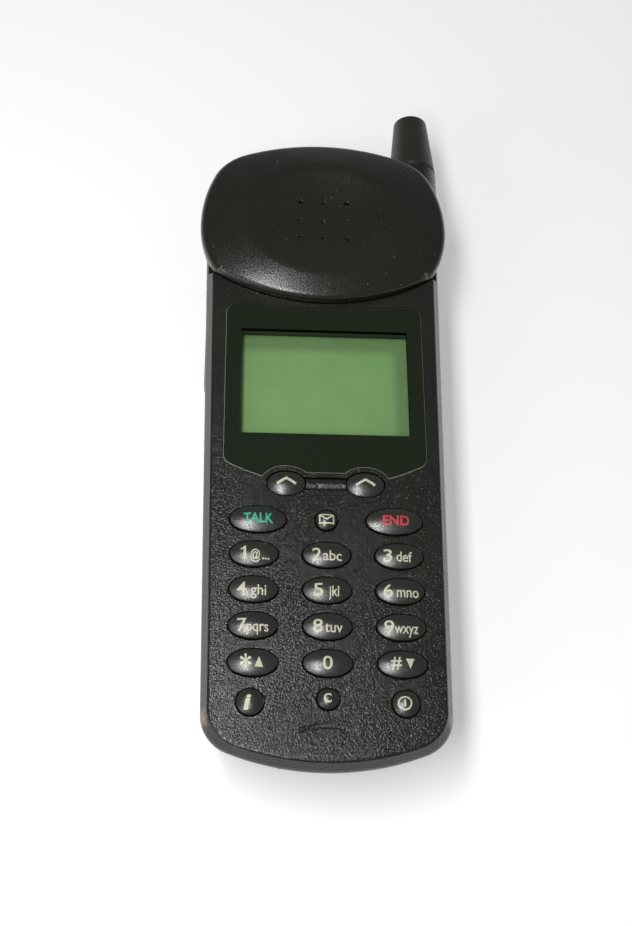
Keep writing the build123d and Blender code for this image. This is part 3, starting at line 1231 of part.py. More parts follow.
def build_all():
    """Every sub-part of the phone, in the closed position."""
    envelope = body_envelope()
    parts = {
        "front_housing": build_front_housing(envelope),
        "rear_housing": build_rear_housing(envelope),
        "display_window": build_display_window(),
        "lcd_frame": build_lcd_frame(),
        "lcd_module": build_lcd_module(),
        "light_guide": build_light_guide(),
        "main_board": build_main_board(),
        "rf_shield": build_rf_shield(),
        "logic_shield": build_logic_shield(),
        "dome_sheet": build_dome_sheet(),
        "keypad_mat": build_keypad_mat(),
        "microphone": build_microphone(),
        "mic_boot": build_mic_boot(),
        "system_connector": build_system_connector(),
        "ringer": build_ringer(),
        "battery_contacts": build_battery_contacts(),
        "volume_switch": build_volume_switch(),
        "body_flex": build_body_flex(),
        "housing_screws": build_housing_screws(),
        "head_cover": build_head_cover(),
        "head_tray": build_head_tray(),
        "receiver": build_receiver(),
        "receiver_gasket": build_receiver_gasket(),
        "slide_shoe_left": build_slide_shoe(-1),
        "slide_shoe_right": build_slide_shoe(1),
        "slide_screws": build_slide_screws(),
        "guide_rails": build_guide_rails(),
        "detent_spring": build_detent_spring(),
        "head_flex": build_head_flex(),
        "antenna_cap": build_antenna_cap(),
        "antenna_whip": build_antenna_whip(),
        "antenna_bushing": build_antenna_bushing(),
        "antenna_contact": build_antenna_contact(),
        "battery_case": build_battery_case(envelope),
        "battery_lid": build_battery_lid(envelope),
        "battery_terminals": build_battery_terminals(),
        "battery_cells": build_battery_cells(),
        "catch_spring": build_catch_spring(),
        "release_button": build_release_button(),
        "volume_rocker": build_volume_rocker(),
    }
    for name, (x, y, size) in KEYS.items():
        proud = SOFT_PROUD if name.startswith("softkey") else KEY_PROUD
        parts[name] = Pos(x, y) * build_key(size, proud)
    return parts


os.makedirs("parts", exist_ok=True)
for name, shape in build_all().items():
    solids = shape if isinstance(shape, list) else shape.solids()
    export_step(Compound(children=list(solids)), f"parts/{name}.step")
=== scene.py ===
# %% [markdown]
# # A slide-up mobile phone
# The phone lies on its back. Its solids come ready made, so this lesson gives them their
# finishes and adds what is printed on them. First the frame is loaded.

# %% Load the frame
import bpy
from math import sqrt, radians, pi
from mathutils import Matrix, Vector


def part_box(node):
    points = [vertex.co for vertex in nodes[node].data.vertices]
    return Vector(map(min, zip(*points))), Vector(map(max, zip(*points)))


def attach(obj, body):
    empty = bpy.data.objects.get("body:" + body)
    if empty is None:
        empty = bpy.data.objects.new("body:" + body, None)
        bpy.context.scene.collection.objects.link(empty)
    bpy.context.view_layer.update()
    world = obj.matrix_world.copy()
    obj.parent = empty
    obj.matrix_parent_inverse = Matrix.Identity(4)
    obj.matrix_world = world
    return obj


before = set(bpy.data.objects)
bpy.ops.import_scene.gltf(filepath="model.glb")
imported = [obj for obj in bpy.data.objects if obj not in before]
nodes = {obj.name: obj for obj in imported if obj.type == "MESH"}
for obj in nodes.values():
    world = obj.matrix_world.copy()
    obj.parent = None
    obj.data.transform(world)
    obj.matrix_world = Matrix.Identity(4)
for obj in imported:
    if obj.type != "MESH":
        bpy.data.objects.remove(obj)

scene = bpy.context.scene
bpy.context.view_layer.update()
MM = 0.001

# %% [markdown]
# ## Camera
# The viewer stands at the chin end and looks down at the keys, a little from the left.
# A 58 mm lens from a third of a metre away gives the strong narrowing towards the antenna.
# Everything is in view without any shift, so other views can reuse the same camera.

# %% Camera
camera_data = bpy.data.cameras.new("portrait_camera")
camera_data.lens = 58.3
camera_data.sensor_width = 36.0
camera = bpy.data.objects.new("portrait_camera", camera_data)
camera.location = (-0.022539, -0.154856, 0.321124)
camera.rotation_euler = (radians(26.463), radians(-3.7532), radians(-0.3819))
scene.collection.objects.link(camera)
scene.camera = camera
print("camera height above the table in mm:", round(camera.location.z / MM))

# %% [markdown]
# ## Making a finish
# Moulded plastic is never one flat colour: a spark-eroded mould leaves a fine grain that
# glitters, handling polishes it in patches, and corners show pale spots, partly worn paint
# and partly a painted highlight. Each finish here starts from one shader, and noise in object
# coordinates feeds its colour, roughness and bump, so the grain keeps its real size on every
# piece. These helpers wire up such patterns.

# %% Start a finish
def start_finish(name, colour, roughness, metallic=0.0):
    """A new finish: its node tree and its shader."""
    finish = bpy.data.materials.new(name)
    finish.use_nodes = True
    shader = finish.node_tree.nodes["Principled BSDF"]
    shader.inputs["Base Color"].default_value = (*colour, 1.0)
    shader.inputs["Roughness"].default_value = roughness
    shader.inputs["Metallic"].default_value = metallic
    finish.diffuse_color = (*colour, 1.0)
    return finish, finish.node_tree, shader


print("helper made: start_finish")

# %% [markdown]
# Noise gives every irregular pattern. It could be placed by a UV map, but the grain would
# change at the map's seams, so the place on the object is used, measured in metres. A range
# node then turns the noise's soft greys into the share or roughness that is wanted.

# %% Patterns
def object_place(tree):
    """The point's place on the object."""
    for node in tree.nodes:
        if node.type == "TEX_COORD":
            return node.outputs["Object"]
    return tree.nodes.new("ShaderNodeTexCoord").outputs["Object"]


def noise(tree, grain, detail=2.0, stretch=(1, 1, 1)):
    """Noise whose features are about grain millimetres across."""
    mapping = tree.nodes.new("ShaderNodeMapping")
    mapping.inputs["Scale"].default_value = stretch
    tree.links.new(object_place(tree), mapping.inputs["Vector"])
    cloud = tree.nodes.new("ShaderNodeTexNoise")
    cloud.inputs["Scale"].default_value = 1.0 / (grain * MM)
    cloud.inputs["Detail"].default_value = detail
    tree.links.new(mapping.outputs["Vector"], cloud.inputs["Vector"])
    return cloud.outputs["Fac"]


def spread(tree, value, low, high, to_low, to_high):
    """Maps low..high onto to_low..to_high."""
    span = tree.nodes.new("ShaderNodeMapRange")
    span.inputs["From Min"].default_value = low
    span.inputs["From Max"].default_value = high
    span.inputs["To Min"].default_value = to_low
    span.inputs["To Max"].default_value = to_high
    tree.links.new(value, span.inputs["Value"])
    return span.outputs["Result"]


print("helpers made: object_place, noise, spread")

# %% [markdown]
# Patterns are put together with two kinds of node: one mixes colours by a share, and one
# does a sum with two numbers. Both take a plain value or another node's output.

# %% Mixing and sums
def blend_colours(tree, share, first, second):
    """first where share is 0, second where it is 1. Each is a colour or a socket."""
    mix = tree.nodes.new("ShaderNodeMix")
    mix.data_type = "RGBA"
    tree.links.new(share, mix.inputs["Factor"])
    for socket, colour in ((mix.inputs["A"], first), (mix.inputs["B"], second)):
        if isinstance(colour, tuple):
            socket.default_value = (*colour, 1.0)
        else:
            tree.links.new(colour, socket)
    return mix.outputs["Result"]


def combine(tree, operation, first, second):
    """One number worked out from two, each a number or a socket."""
    sums = tree.nodes.new("ShaderNodeMath")
    sums.operation = operation
    for socket, value in zip(sums.inputs, (first, second)):
        if isinstance(value, (int, float)):
            socket.default_value = value
        else:
            tree.links.new(value, socket)
    return sums.outputs["Value"]


print("helpers made: blend_colours, combine")

# %% [markdown]
# Grain is too fine to model, so a bump tilts the light on it. The pale spots, partly worn
# paint and partly a painted highlight, sit at certain corners, so a distance to a point says
# where. The last helper gives a finish to ready-made pieces.

# %% Bump, spots and dressing
def add_bump(tree, shader, height, depth):
    """Raises the surface by up to depth millimetres where height is 1."""
    bump = tree.nodes.new("ShaderNodeBump")
    bump.inputs["Distance"].default_value = depth * MM
    bump.inputs["Strength"].default_value = 1.0
    tree.links.new(height, bump.inputs["Height"])
    tree.links.new(bump.outputs["Normal"], shader.inputs["Normal"])


def near_point(tree, place, reach):
    """1 at a place in millimetres, falling to 0 at reach millimetres from it."""
    offset = tree.nodes.new("ShaderNodeVectorMath")
    offset.operation = "DISTANCE"
    offset.inputs[1].default_value = [v * MM for v in place]
    tree.links.new(object_place(tree), offset.inputs[0])
    return spread(tree, offset.outputs["Value"], 0.0, reach * MM, 1.0, 0.0)


def dress(names, finish):
    """Gives a finish to frame nodes."""
    for name in names:
        slots = nodes[name].material_slots
        for slot in slots:
            slot.material = finish
        if not slots:
            nodes[name].data.materials.append(finish)


print("helpers made: add_bump, near_point, dress")

# %% [markdown]
# ## Black housing plastic
# The housing is dark grey plastic with a coarse spark texture that glitters where the light
# grazes it. Two sizes of noise make the grain, a broad one makes the patches that hands have
# polished, and noise broken up near the corners paints pale spots there, partly the paler
# plastic under worn paint and partly a painted highlight.

# %% Pale corner spots, partly wear and partly painted highlight, and dust
PALE_WEAR_AND_GLINT = (0.30, 0.20, 0.165)     # pale spot colour: the paler plastic under the paint, and a painted highlight
RAGGED_SIZE = 0.9              # mm, the bites in the edge of a pale spot
RAGGED_SHARE = 0.9
DUST = (0.20, 0.205, 0.19)
DUST_SIZE = 0.7                # mm
DUST_SHARE = 0.6
PATCH_SIZE = 22.0              # mm, the patches polished by hands
FINE_GRAIN = 0.55              # the fine noise's size as a share of the coarse one's
FINE_SHARE = 0.4               # and its height


def wear_and_glint_share(tree, wear_and_glint_places):
    """1 at the pale spots near the given places, with a ragged edge: partly worn paint, partly a
    painted highlight.
    """
    pale_spots = None
    for place, reach in wear_and_glint_places:
        spot = near_point(tree, place, reach)
        pale_spots = spot if pale_spots is None else combine(tree, "MAXIMUM", pale_spots, spot)
    bites = combine(tree, "MULTIPLY", noise(tree, RAGGED_SIZE, 4.0), RAGGED_SHARE)
    ragged = combine(tree, "ADD", pale_spots, bites)
    return spread(tree, ragged, 0.85, 1.2, 0.0, 0.75)


print("helper made: wear_and_glint_share")

# %% Grained plastic
def grained_plastic(name, colour, grain, depth, roughness, wear_and_glint_places=(), shine=0.6):
    """Spark-textured plastic: grain in mm, its depth in mm, and where its pale spots lie, partly
    worn paint and partly a painted highlight.
    """
    finish, tree, shader = start_finish(name, colour, roughness)
    shader.inputs["Specular IOR Level"].default_value = shine
    coarse = noise(tree, grain, 1.0)
    fine = noise(tree, grain * FINE_GRAIN, 0.0)
    height = combine(tree, "ADD", coarse, combine(tree, "MULTIPLY", fine, FINE_SHARE))
    add_bump(tree, shader, height, depth)
    patches = noise(tree, PATCH_SIZE, 3.0)
    shade = blend_colours(tree, spread(tree, patches, 0.35, 0.7, 0.0, 1.0),
                          tuple(c * 0.85 for c in colour), tuple(c * 1.2 for c in colour))
    dust = spread(tree, noise(tree, DUST_SIZE, 0.0), 0.865, 0.89, 0.0, DUST_SHARE)
    shade = blend_colours(tree, dust, shade, DUST)
    if wear_and_glint_places:
        # pale corner spots: partly worn paint, partly a painted highlight
        shade = blend_colours(tree, wear_and_glint_share(tree, wear_and_glint_places), shade, PALE_WEAR_AND_GLINT)
    tree.links.new(shade, shader.inputs["Base Color"])
    polish = spread(tree, patches, 0.3, 0.7, -0.03, 0.04)
    facets = spread(tree, noise(tree, grain, 0.0), 0.35, 0.65,
                    roughness - 0.06, roughness + 0.08)
    tree.links.new(combine(tree, "ADD", facets, polish), shader.inputs["Roughness"])
    return finish


# %% Housing, battery, head and antenna stub
HOUSING_BLACK = (0.0085, 0.0105, 0.0065)
HOUSING_GRAIN = 0.37           # mm
HOUSING_DEPTH = 0.098          # mm
# Pale spots at the chin and head corners, partly worn paint and partly a painted highlight; the
# left chin spot is larger, on the lamp's side.
CHIN_WEAR_AND_GLINT = (((-25.2, -65.0, 22.5), 4.2), ((25.2, -65.0, 22.5), 3.6))
HEAD_WEAR_AND_GLINT = (((-24.6, 41.0, 27.2), 2.6), ((24.6, 41.0, 27.2), 2.6))
housing_finish = grained_plastic(
    "housing_plastic", HOUSING_BLACK, HOUSING_GRAIN, HOUSING_DEPTH, 0.16, CHIN_WEAR_AND_GLINT)
battery_finish = grained_plastic(
    "battery_plastic", HOUSING_BLACK, HOUSING_GRAIN, HOUSING_DEPTH, 0.18)
head_finish = grained_plastic(
    "head_plastic", (0.0075, 0.0105, 0.0055), 0.34, 0.020, 0.22, HEAD_WEAR_AND_GLINT)
stub_finish = grained_plastic("antenna_plastic", (0.010, 0.014, 0.0075), 0.25, 0.015, 0.42)
dress(["front_housing", "rear_housing", "release_button"], housing_finish)
dress(["battery_case", "battery_lid"], battery_finish)
dress(["head_cover", "head_tray"], head_finish)
dress(["antenna_cap"], stub_finish)
print("plastics:", housing_finish.name, battery_finish.name, head_finish.name, stub_finish.name)

# %% [markdown]
# ## Keys and rubber
# The keys are hard caps, smoother than the housing, with a satin lacquer. The volume key and
# the soft parts inside are rubber: duller, with a faint dusty bloom.

# %% Key and rubber finishes
key_finish = grained_plastic("key_lacquer", (0.0085, 0.0095, 0.0065), 0.30, 0.008, 0.32, (), 1.0)


def rubber(name, colour):
    finish, tree, shader = start_finish(name, colour, 0.7)
    bloom = noise(tree, 3.0, 4.0)
    shade = blend_colours(tree, spread(tree, bloom, 0.4, 0.7, 0.0, 1.0), colour,
                          tuple(c * 1.5 + 0.01 for c in colour))
    tree.links.new(shade, shader.inputs["Base Color"])
    add_bump(tree, shader, noise(tree, 0.3, 2.0), 0.01)
    return finish


rubber_finish = rubber("soft_rubber", (0.03, 0.03, 0.03))
KEY_NAMES = sorted(name for name in nodes if name.startswith(("key_", "softkey")))
dress(KEY_NAMES, key_finish)
dress(["volume_rocker", "keypad_mat", "mic_boot", "receiver_gasket"], rubber_finish)
print("keys dressed:", len(KEY_NAMES))

# %% [markdown]
# ## Window and display
# The window is one sheet of acrylic, printed black underneath except for a clear rectangle
# over the display. One finish does both: a rectangle in object coordinates turns the sheet
# see-through there. Where the surface turns away from straight up, at its cut edge, the colour
# goes pale: partly a frosted cut edge, partly a painted highlight on the bevel. Under it, the
# display is a flat grey-green, a little uneven, because its polariser scatters the light, and
# painted darker along its top and right edges, as the shade where the well round it keeps the
# light off.

# %% Window finish
VIEW_CENTRE = (0.0, 13.5)      # mm, the clear rectangle
VIEW_SIZE = (38.4, 27.2)
CLEAR_ALPHA = 0.09
# colour of the pale window edge: frosted cut edge and painted highlight
FROSTED_AND_GLINT_EDGE = (0.26, 0.26, 0.21)


def inside_rectangle(tree, centre, size, soft):
    """1 inside a rectangle on the face, 0 outside, over a soft edge in millimetres."""
    split = tree.nodes.new("ShaderNodeSeparateXYZ")
    tree.links.new(object_place(tree), split.inputs["Vector"])
    inside = None
    for axis, middle, length in (("X", centre[0], size[0]), ("Y", centre[1], size[1])):
        offset = combine(tree, "SUBTRACT", split.outputs[axis], middle * MM)
        away = combine(tree, "ABSOLUTE", offset, 0)
        share = spread(tree, away, (length / 2 - soft) * MM, (length / 2) * MM, 1.0, 0.0)
        inside = share if inside is None else combine(tree, "MULTIPLY", inside, share)
    return inside


def window_sheet():
    finish, tree, shader = start_finish("window_acrylic", (0.0055, 0.0115, 0.0025), 0.09)
    shader.inputs["IOR"].default_value = 1.49
    facing = tree.nodes.new("ShaderNodeSeparateXYZ")
    surface = tree.nodes.new("ShaderNodeNewGeometry")
    tree.links.new(surface.outputs["Normal"], facing.inputs["Vector"])
    # pale tilted edge: partly a frosted cut edge, partly a painted highlight on the bevel
    edge_glint_share = spread(tree, facing.outputs["Z"], 0.75, 0.97, 0.85, 0.0)
    edge = blend_colours(tree, edge_glint_share, (0.0065, 0.0125, 0.0035), FROSTED_AND_GLINT_EDGE)
    tree.links.new(edge, shader.inputs["Base Color"])
    clear = inside_rectangle(tree, VIEW_CENTRE, VIEW_SIZE, 0.12)
    tree.links.new(spread(tree, clear, 0.0, 1.0, 1.0, CLEAR_ALPHA), shader.inputs["Alpha"])
    smears = noise(tree, 9.0, 5.0, (1.0, 2.2, 1.0))
    tree.links.new(spread(tree, smears, 0.4, 0.75, 0.06, 0.17), shader.inputs["Roughness"])
    return finish


window_finish = window_sheet()
dress(["display_window"], window_finish)
print("window:", window_finish.name)

# %% Display finish
SHADED = (0.18, 0.33, 0.125)
FLECK = (0.33, 0.55, 0.24)
FLECK_SIZE = 0.45              # mm
SHADE_SHIFT = (-1.6, -2.4)     # mm, how far the lit rectangle lies off the display's centre


def display_face():
    finish, tree, shader = start_finish("display_green", (0.19, 0.36, 0.125), 0.45)
    cloud = noise(tree, 7.0, 3.0)
    fleck = noise(tree, FLECK_SIZE, 2.0)
    shade = blend_colours(tree, spread(tree, cloud, 0.3, 0.7, 0.0, 1.0),
                          (0.235, 0.455, 0.155), (0.265, 0.49, 0.18))
    shade = blend_colours(tree, spread(tree, fleck, 0.58, 0.72, 0.0, 0.6), shade, FLECK)
    lit_centre = (VIEW_CENTRE[0] + SHADE_SHIFT[0], VIEW_CENTRE[1] + SHADE_SHIFT[1])
    lit = inside_rectangle(tree, lit_centre, VIEW_SIZE, 2.0)
    shade = blend_colours(tree, lit, SHADED, shade)
    tree.links.new(shade, shader.inputs["Base Color"])
    return finish


display_finish = display_face()
dress(["lcd_module"], display_finish)
print("display:", display_finish.name)

# %% [markdown]
# ## Inside parts
# Most of these are hidden until the phone is opened, yet each has its own stuff: a green
# board, pressed tin shields, steel rails and springs, gilded contacts, amber ribbon cable.

# %% Inside finishes
def brushed_metal(name, colour, roughness, along=(1, 12, 1)):
    finish, tree, shader = start_finish(name, colour, roughness, 1.0)
    lines = noise(tree, 0.5, 3.0, along)
    tree.links.new(spread(tree, lines, 0.3, 0.7, roughness - 0.06, roughness + 0.08),
                   shader.inputs["Roughness"])
    shade = blend_colours(tree, lines, tuple(c * 0.9 for c in colour), colour)
    tree.links.new(shade, shader.inputs["Base Color"])
    add_bump(tree, shader, lines, 0.004)
    return finish


def mottled(name, first, second, grain, roughness):
    finish, tree, shader = start_finish(name, first, roughness)
    cloud = noise(tree, grain, 3.0)
    shade = blend_colours(tree, spread(tree, cloud, 0.35, 0.65, 0.0, 1.0), first, second)
    tree.links.new(shade, shader.inputs["Base Color"])
    add_bump(tree, shader, noise(tree, grain * 0.3, 2.0), 0.006)
    return finish


steel_finish = brushed_metal("spring_steel", (0.56, 0.56, 0.55), 0.3)
shield_finish = brushed_metal("tinned_shield", (0.66, 0.66, 0.64), 0.35, (6, 1, 1))
whip_finish = brushed_metal("whip_chrome", (0.72, 0.72, 0.73), 0.14, (8, 1, 8))
gold_finish = brushed_metal("gilded_contact", (0.83, 0.62, 0.28), 0.25)
cell_finish = brushed_metal("cell_can", (0.62, 0.63, 0.65), 0.4, (1, 8, 1))
board_finish = mottled("board_resist", (0.010, 0.10, 0.035), (0.016, 0.15, 0.05), 4.0, 0.35)
white_finish = mottled("white_moulding", (0.66, 0.66, 0.62), (0.72, 0.72, 0.69), 6.0, 0.5)
frame_finish = mottled("display_frame", (0.030, 0.036, 0.026), (0.042, 0.050, 0.036), 5.0, 0.5)
black_finish = mottled("black_moulding", (0.018, 0.018, 0.018), (0.028, 0.028, 0.028), 5.0, 0.45)
film_finish = mottled("polyester_film", (0.58, 0.58, 0.53), (0.64, 0.64, 0.6), 8.0, 0.3)
guide_finish = mottled("light_guide_acrylic", (0.70, 0.76, 0.70), (0.76, 0.8, 0.76), 9.0, 0.2)
flex_finish = mottled("amber_ribbon", (0.40, 0.16, 0.02), (0.5, 0.22, 0.04), 2.0, 0.3)

print("finishes so far:", len(bpy.data.materials))

# %% Dress the inside
dress(["housing_screws", "slide_screws", "guide_rails", "detent_spring", "catch_spring"],
      steel_finish)
dress(["rf_shield", "logic_shield", "receiver", "microphone"], shield_finish)
dress(["antenna_whip"], whip_finish)
dress(["antenna_bushing", "antenna_contact", "battery_terminals"], gold_finish)
dress(["battery_cells"], cell_finish)
dress(["main_board"], board_finish)
dress(["lcd_frame"], frame_finish)
dress(["slide_shoe_left", "slide_shoe_right"], white_finish)
dress(["system_connector", "ringer", "battery_contacts", "volume_switch"], black_finish)
dress(["dome_sheet"], film_finish)
dress(["light_guide"], guide_finish)
dress(["body_flex", "head_flex"], flex_finish)
bare = [name for name, node in nodes.items() if not node.material_slots]
print("nodes:", len(nodes), "without a finish:", bare)

# %% [markdown]
# ## Printed signs on the keys
# Each sign is a thin layer of paint on a domed cap. A flat sign laid over a dome would sink
# into it in the middle, so each one is cut into small squares first, and every point is then
# put on the dome. The dome's shape follows from the cap's size: its edge is a fixed drop
# below its top, both along and across.

# %% Paint finishes
THIN_PAINT = 0.72              # how dark the paint is where it has worn thin


def paint(name, colour):
    finish, tree, shader = start_finish(name, colour, 0.45)
    thin = noise(tree, 0.5, 3.0)
    shade = blend_colours(tree, spread(tree, thin, 0.35, 0.75, 0.0, 1.0), colour,
                          tuple(c * THIN_PAINT for c in colour))
    tree.links.new(shade, shader.inputs["Base Color"])
    return finish


cream_paint = paint("cream_paint", (0.60, 0.60, 0.44))
green_paint = paint("green_paint", (0.05, 0.42, 0.27))
red_paint = paint("red_paint", (0.62, 0.05, 0.07))
print("paints:", cream_paint.name, green_paint.name, red_paint.name)

# %% Laying a sign on a key
KEY_DROP = 0.95                # mm, a cap's edge lies this far below its top
FLANGE_REACH = 0.9             # mm that the box of a key reaches past its cap at each end
PAINT_LIFT = 0.03
CUT_STEP = 0.5


def only(piece):
    """Selects one object alone and makes it active."""
    bpy.ops.object.select_all(action="DESELECT")
    piece.select_set(True)
    bpy.context.view_layer.objects.active = piece


def cap_of(name):
    """A key's centre, top and half sizes, in millimetres."""
    low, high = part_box(name)
    centre = (low + high) / 2 / MM
    half = (high - low) / 2 / MM
    return centre.x, centre.y, high.z / MM, half.x - FLANGE_REACH, half.y


def dome_height(cap, x, y):
    """The height of the cap's dome over a point, in millimetres."""
    centre_x, centre_y, top, half_x, half_y = cap
    radius_x = (half_x ** 2 + KEY_DROP ** 2) / (2 * KEY_DROP)
    radius_y = (half_y ** 2 + KEY_DROP ** 2) / (2 * KEY_DROP)
    turn = radius_y - radius_x + sqrt(radius_x ** 2 - (x - centre_x) ** 2)
    return top - radius_y + sqrt(turn ** 2 - (y - centre_y) ** 2)


def cut_squares(piece, step):
    """Cuts a mesh along a square grid, so that it can bend."""
    only(piece)
    low = Vector(piece.bound_box[0])
    high = Vector(piece.bound_box[6])
    bpy.ops.object.mode_set(mode="EDIT")
    for axis in (0, 1):
        normal = [0, 0, 0]
        normal[axis] = 1
        count = int((high[axis] - low[axis]) / step)
        for i in range(1, count + 1):
            point = [0, 0, 0]
            point[axis] = low[axis] + i * step
            bpy.ops.mesh.select_all(action="SELECT")
            bpy.ops.mesh.bisect(plane_co=point, plane_no=normal)
    bpy.ops.object.mode_set(mode="OBJECT")


def lay_on_key(piece, key, finish):
    """Bends a sign, drawn in millimetres round the key's centre, onto the key's dome."""
    cut_squares(piece, CUT_STEP)
    cap = cap_of(key)
    for vertex in piece.data.vertices:
        x, y = vertex.co.x + cap[0], vertex.co.y + cap[1]
        lift = PAINT_LIFT if vertex.co.z > 0 else -PAINT_LIFT
        vertex.co = Vector((x, y, dome_height(cap, x, y) + lift)) * MM
    piece.data.materials.clear()
    piece.data.materials.append(finish)
    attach(piece, key)


cap_5 = cap_of("key_5")
print("top of key 5's dome, mm above the table:", round(cap_5[2], 2))

# %% [markdown]
# ## Figures and letters
# The keys carry plain figures with small letters beside them. Blender's own text gives both.
# Each string is turned into a mesh and stretched to the width that it has on the key, and
# all strings of one key are joined to one sign.

# %% Lettering
FIGURE_HEIGHT = 3.0            # mm
LETTER_HEIGHT = 2.35
BASE_LINE = -1.55              # mm from the key's centre
BOLDER = 0.035
CAPITAL_SHARE = 0.729          # a capital's height as a share of the text's size
TEXT_DEPTH = 0.02


def lettering(text, left, right, height, base=BASE_LINE, slant=0.0, bolder=BOLDER):
    """A string as a thin solid: its left and right ends, capital height, base line, slant
    and boldness."""
    bpy.ops.object.select_all(action="DESELECT")
    bpy.ops.object.text_add(location=(0, 0, 0))
    piece = bpy.context.object
    piece.data.body = text
    piece.data.size = height / CAPITAL_SHARE
    piece.data.extrude = TEXT_DEPTH
    piece.data.shear = slant
    piece.data.offset = bolder
    piece.data.resolution_u = 4
    bpy.ops.object.convert(target="MESH")
    piece = bpy.context.object
    xs = [vertex.co.x for vertex in piece.data.vertices]
    scale = (right - left) / (max(xs) - min(xs))
    for vertex in piece.data.vertices:
        vertex.co.x = left + (vertex.co.x - min(xs)) * scale
        vertex.co.y += base
    return piece


def join(pieces, name):
    """Joins flat pieces into one sign."""
    bpy.ops.object.select_all(action="DESELECT")
    for piece in pieces:
        piece.select_set(True)
    bpy.context.view_layer.objects.active = pieces[0]
    if len(pieces) > 1:
        bpy.ops.object.join()
    pieces[0].name = name
    return pieces[0]


print("helpers made: lettering, join")

# %% [markdown]
# The figure one is only a bar in Blender's text, so it is drawn with two flat bars. A flat
# bar starts as a plane whose corners are moved to both sides of its line, and a Solidify
# modifier gives it the thickness of paint.

# %% Flat bars
SHEET = 0.04                   # mm, the thickness of a drawn sign
FLAG_LOW = 0.80                # mm below the figure's top, where its flag starts
FLAG_HIGH = 0.30


def thicken(piece):
    """Gives a flat face a paint's thickness, half above and half below."""
    only(piece)
    layer = piece.modifiers.new("paint", "SOLIDIFY")
    layer.thickness = SHEET
    layer.offset = 0.0
    bpy.ops.object.modifier_apply(modifier=layer.name)


def flat_bar(start, end, width):
    """A flat bar between two points, in millimetres."""
    bpy.ops.object.select_all(action="DESELECT")
    bpy.ops.mesh.primitive_plane_add(size=1.0, location=(0, 0, 0))
    piece = bpy.context.object
    run = Vector((end[0] - start[0], end[1] - start[1], 0))
    side = Vector((-run.y, run.x, 0)).normalized() * width / 2
    for vertex in piece.data.vertices:
        along = start if vertex.co.x < 0 else end
        way = 1 if vertex.co.y > 0 else -1
        vertex.co = Vector((along[0], along[1], 0)) + side * way
    thicken(piece)
    return piece


def figure_one(left, right, line=0.52):
    """The figure one: an upright and its flag."""
    top = BASE_LINE + FIGURE_HEIGHT
    middle = right - line / 2
    upright = flat_bar((middle, BASE_LINE), (middle, top), line)
    flag = flat_bar((left, top - FLAG_LOW), (middle, top - FLAG_HIGH), line * 0.75)
    return [upright, flag]


print("helpers made: thicken, flat_bar, figure_one")

# %% Figures
LETTERS = {
    "key_1": (("@", -0.75, 1.35, 2.2), ("...", 1.75, 3.25, LETTER_HEIGHT)),
    "key_2": (("2", -3.14, -1.20, FIGURE_HEIGHT), ("abc", -0.85, 3.20, LETTER_HEIGHT)),
    "key_3": (("3", -3.46, -1.60, FIGURE_HEIGHT), ("def", -0.70, 2.70, LETTER_HEIGHT)),
    "key_4": (("4", -3.53, -1.50, FIGURE_HEIGHT), ("ghi", -0.62, 2.70, LETTER_HEIGHT)),
    "key_5": (("5", -2.90, -0.88, FIGURE_HEIGHT), ("jkl", 0.32, 2.50, LETTER_HEIGHT)),
    "key_6": (("6", -3.67, -1.64, FIGURE_HEIGHT), ("mno", -0.85, 3.85, LETTER_HEIGHT)),
    "key_7": (("7", -3.35, -1.35, FIGURE_HEIGHT), ("pqrs", -1.40, 3.20, LETTER_HEIGHT)),
    "key_8": (("8", -3.10, -1.02, FIGURE_HEIGHT), ("tuv", -0.60, 3.15, LETTER_HEIGHT)),
    "key_9": (("9", -3.70, -1.64, FIGURE_HEIGHT), ("wxyz", -1.55, 3.50, LETTER_HEIGHT)),
    "key_0": (("0", -1.10, 0.95, FIGURE_HEIGHT),),
    "key_star": (("*", -2.62, -0.30, 4.9),),
    "key_hash": (("#", -2.55, -0.30, 2.8),),
}
BASES = {"*": -3.3, "#": -1.1}
BOLDNESS = {"*": 0.10, "#": 0.05}
for key, strings in LETTERS.items():
    parts = []
    for text, left, right, height in strings:
        base = BASES.get(text, BASE_LINE)
        parts.append(lettering(text, left, right, height, base, 0.0, BOLDNESS.get(text, BOLDER)))
    if key == "key_1":
        parts += figure_one(-2.80, -1.70)
    lay_on_key(join(parts, "sign_" + key[4:]), key, cream_paint)
print("figures laid on:", len(LETTERS), "keys")

# %% Words on the call keys and the two round keys
WORDS = (
    ("talk", "TALK", -3.15, 3.32, 2.35, -1.15, 0.0, 0.085, green_paint),
    ("end", "END", -2.60, 3.20, 2.35, -1.15, 0.0, 0.085, red_paint),
    ("info", "i", -1.35, 0.25, 3.3, -1.75, 0.18, 0.15, cream_paint),
    ("clear", "C", -0.95, 0.65, 1.95, -0.95, 0.0, 0.05, cream_paint),
)
for name, text, left, right, height, base, slant, bolder, finish in WORDS:
    word = lettering(text, left, right, height, base, slant, bolder)
    lay_on_key(join([word], "sign_" + name), "key_" + name, finish)
print("words laid on:", len(WORDS), "keys")

# %% [markdown]
# ## Drawn signs
# The arrows, the envelope and the power sign are simple outlines, so they start from plain
# flat primitives: a ring or a frame is a disc with its middle inset and removed, an arrow
# is a three-sided disc, and a chevron is two flat bars that meet at its tip.

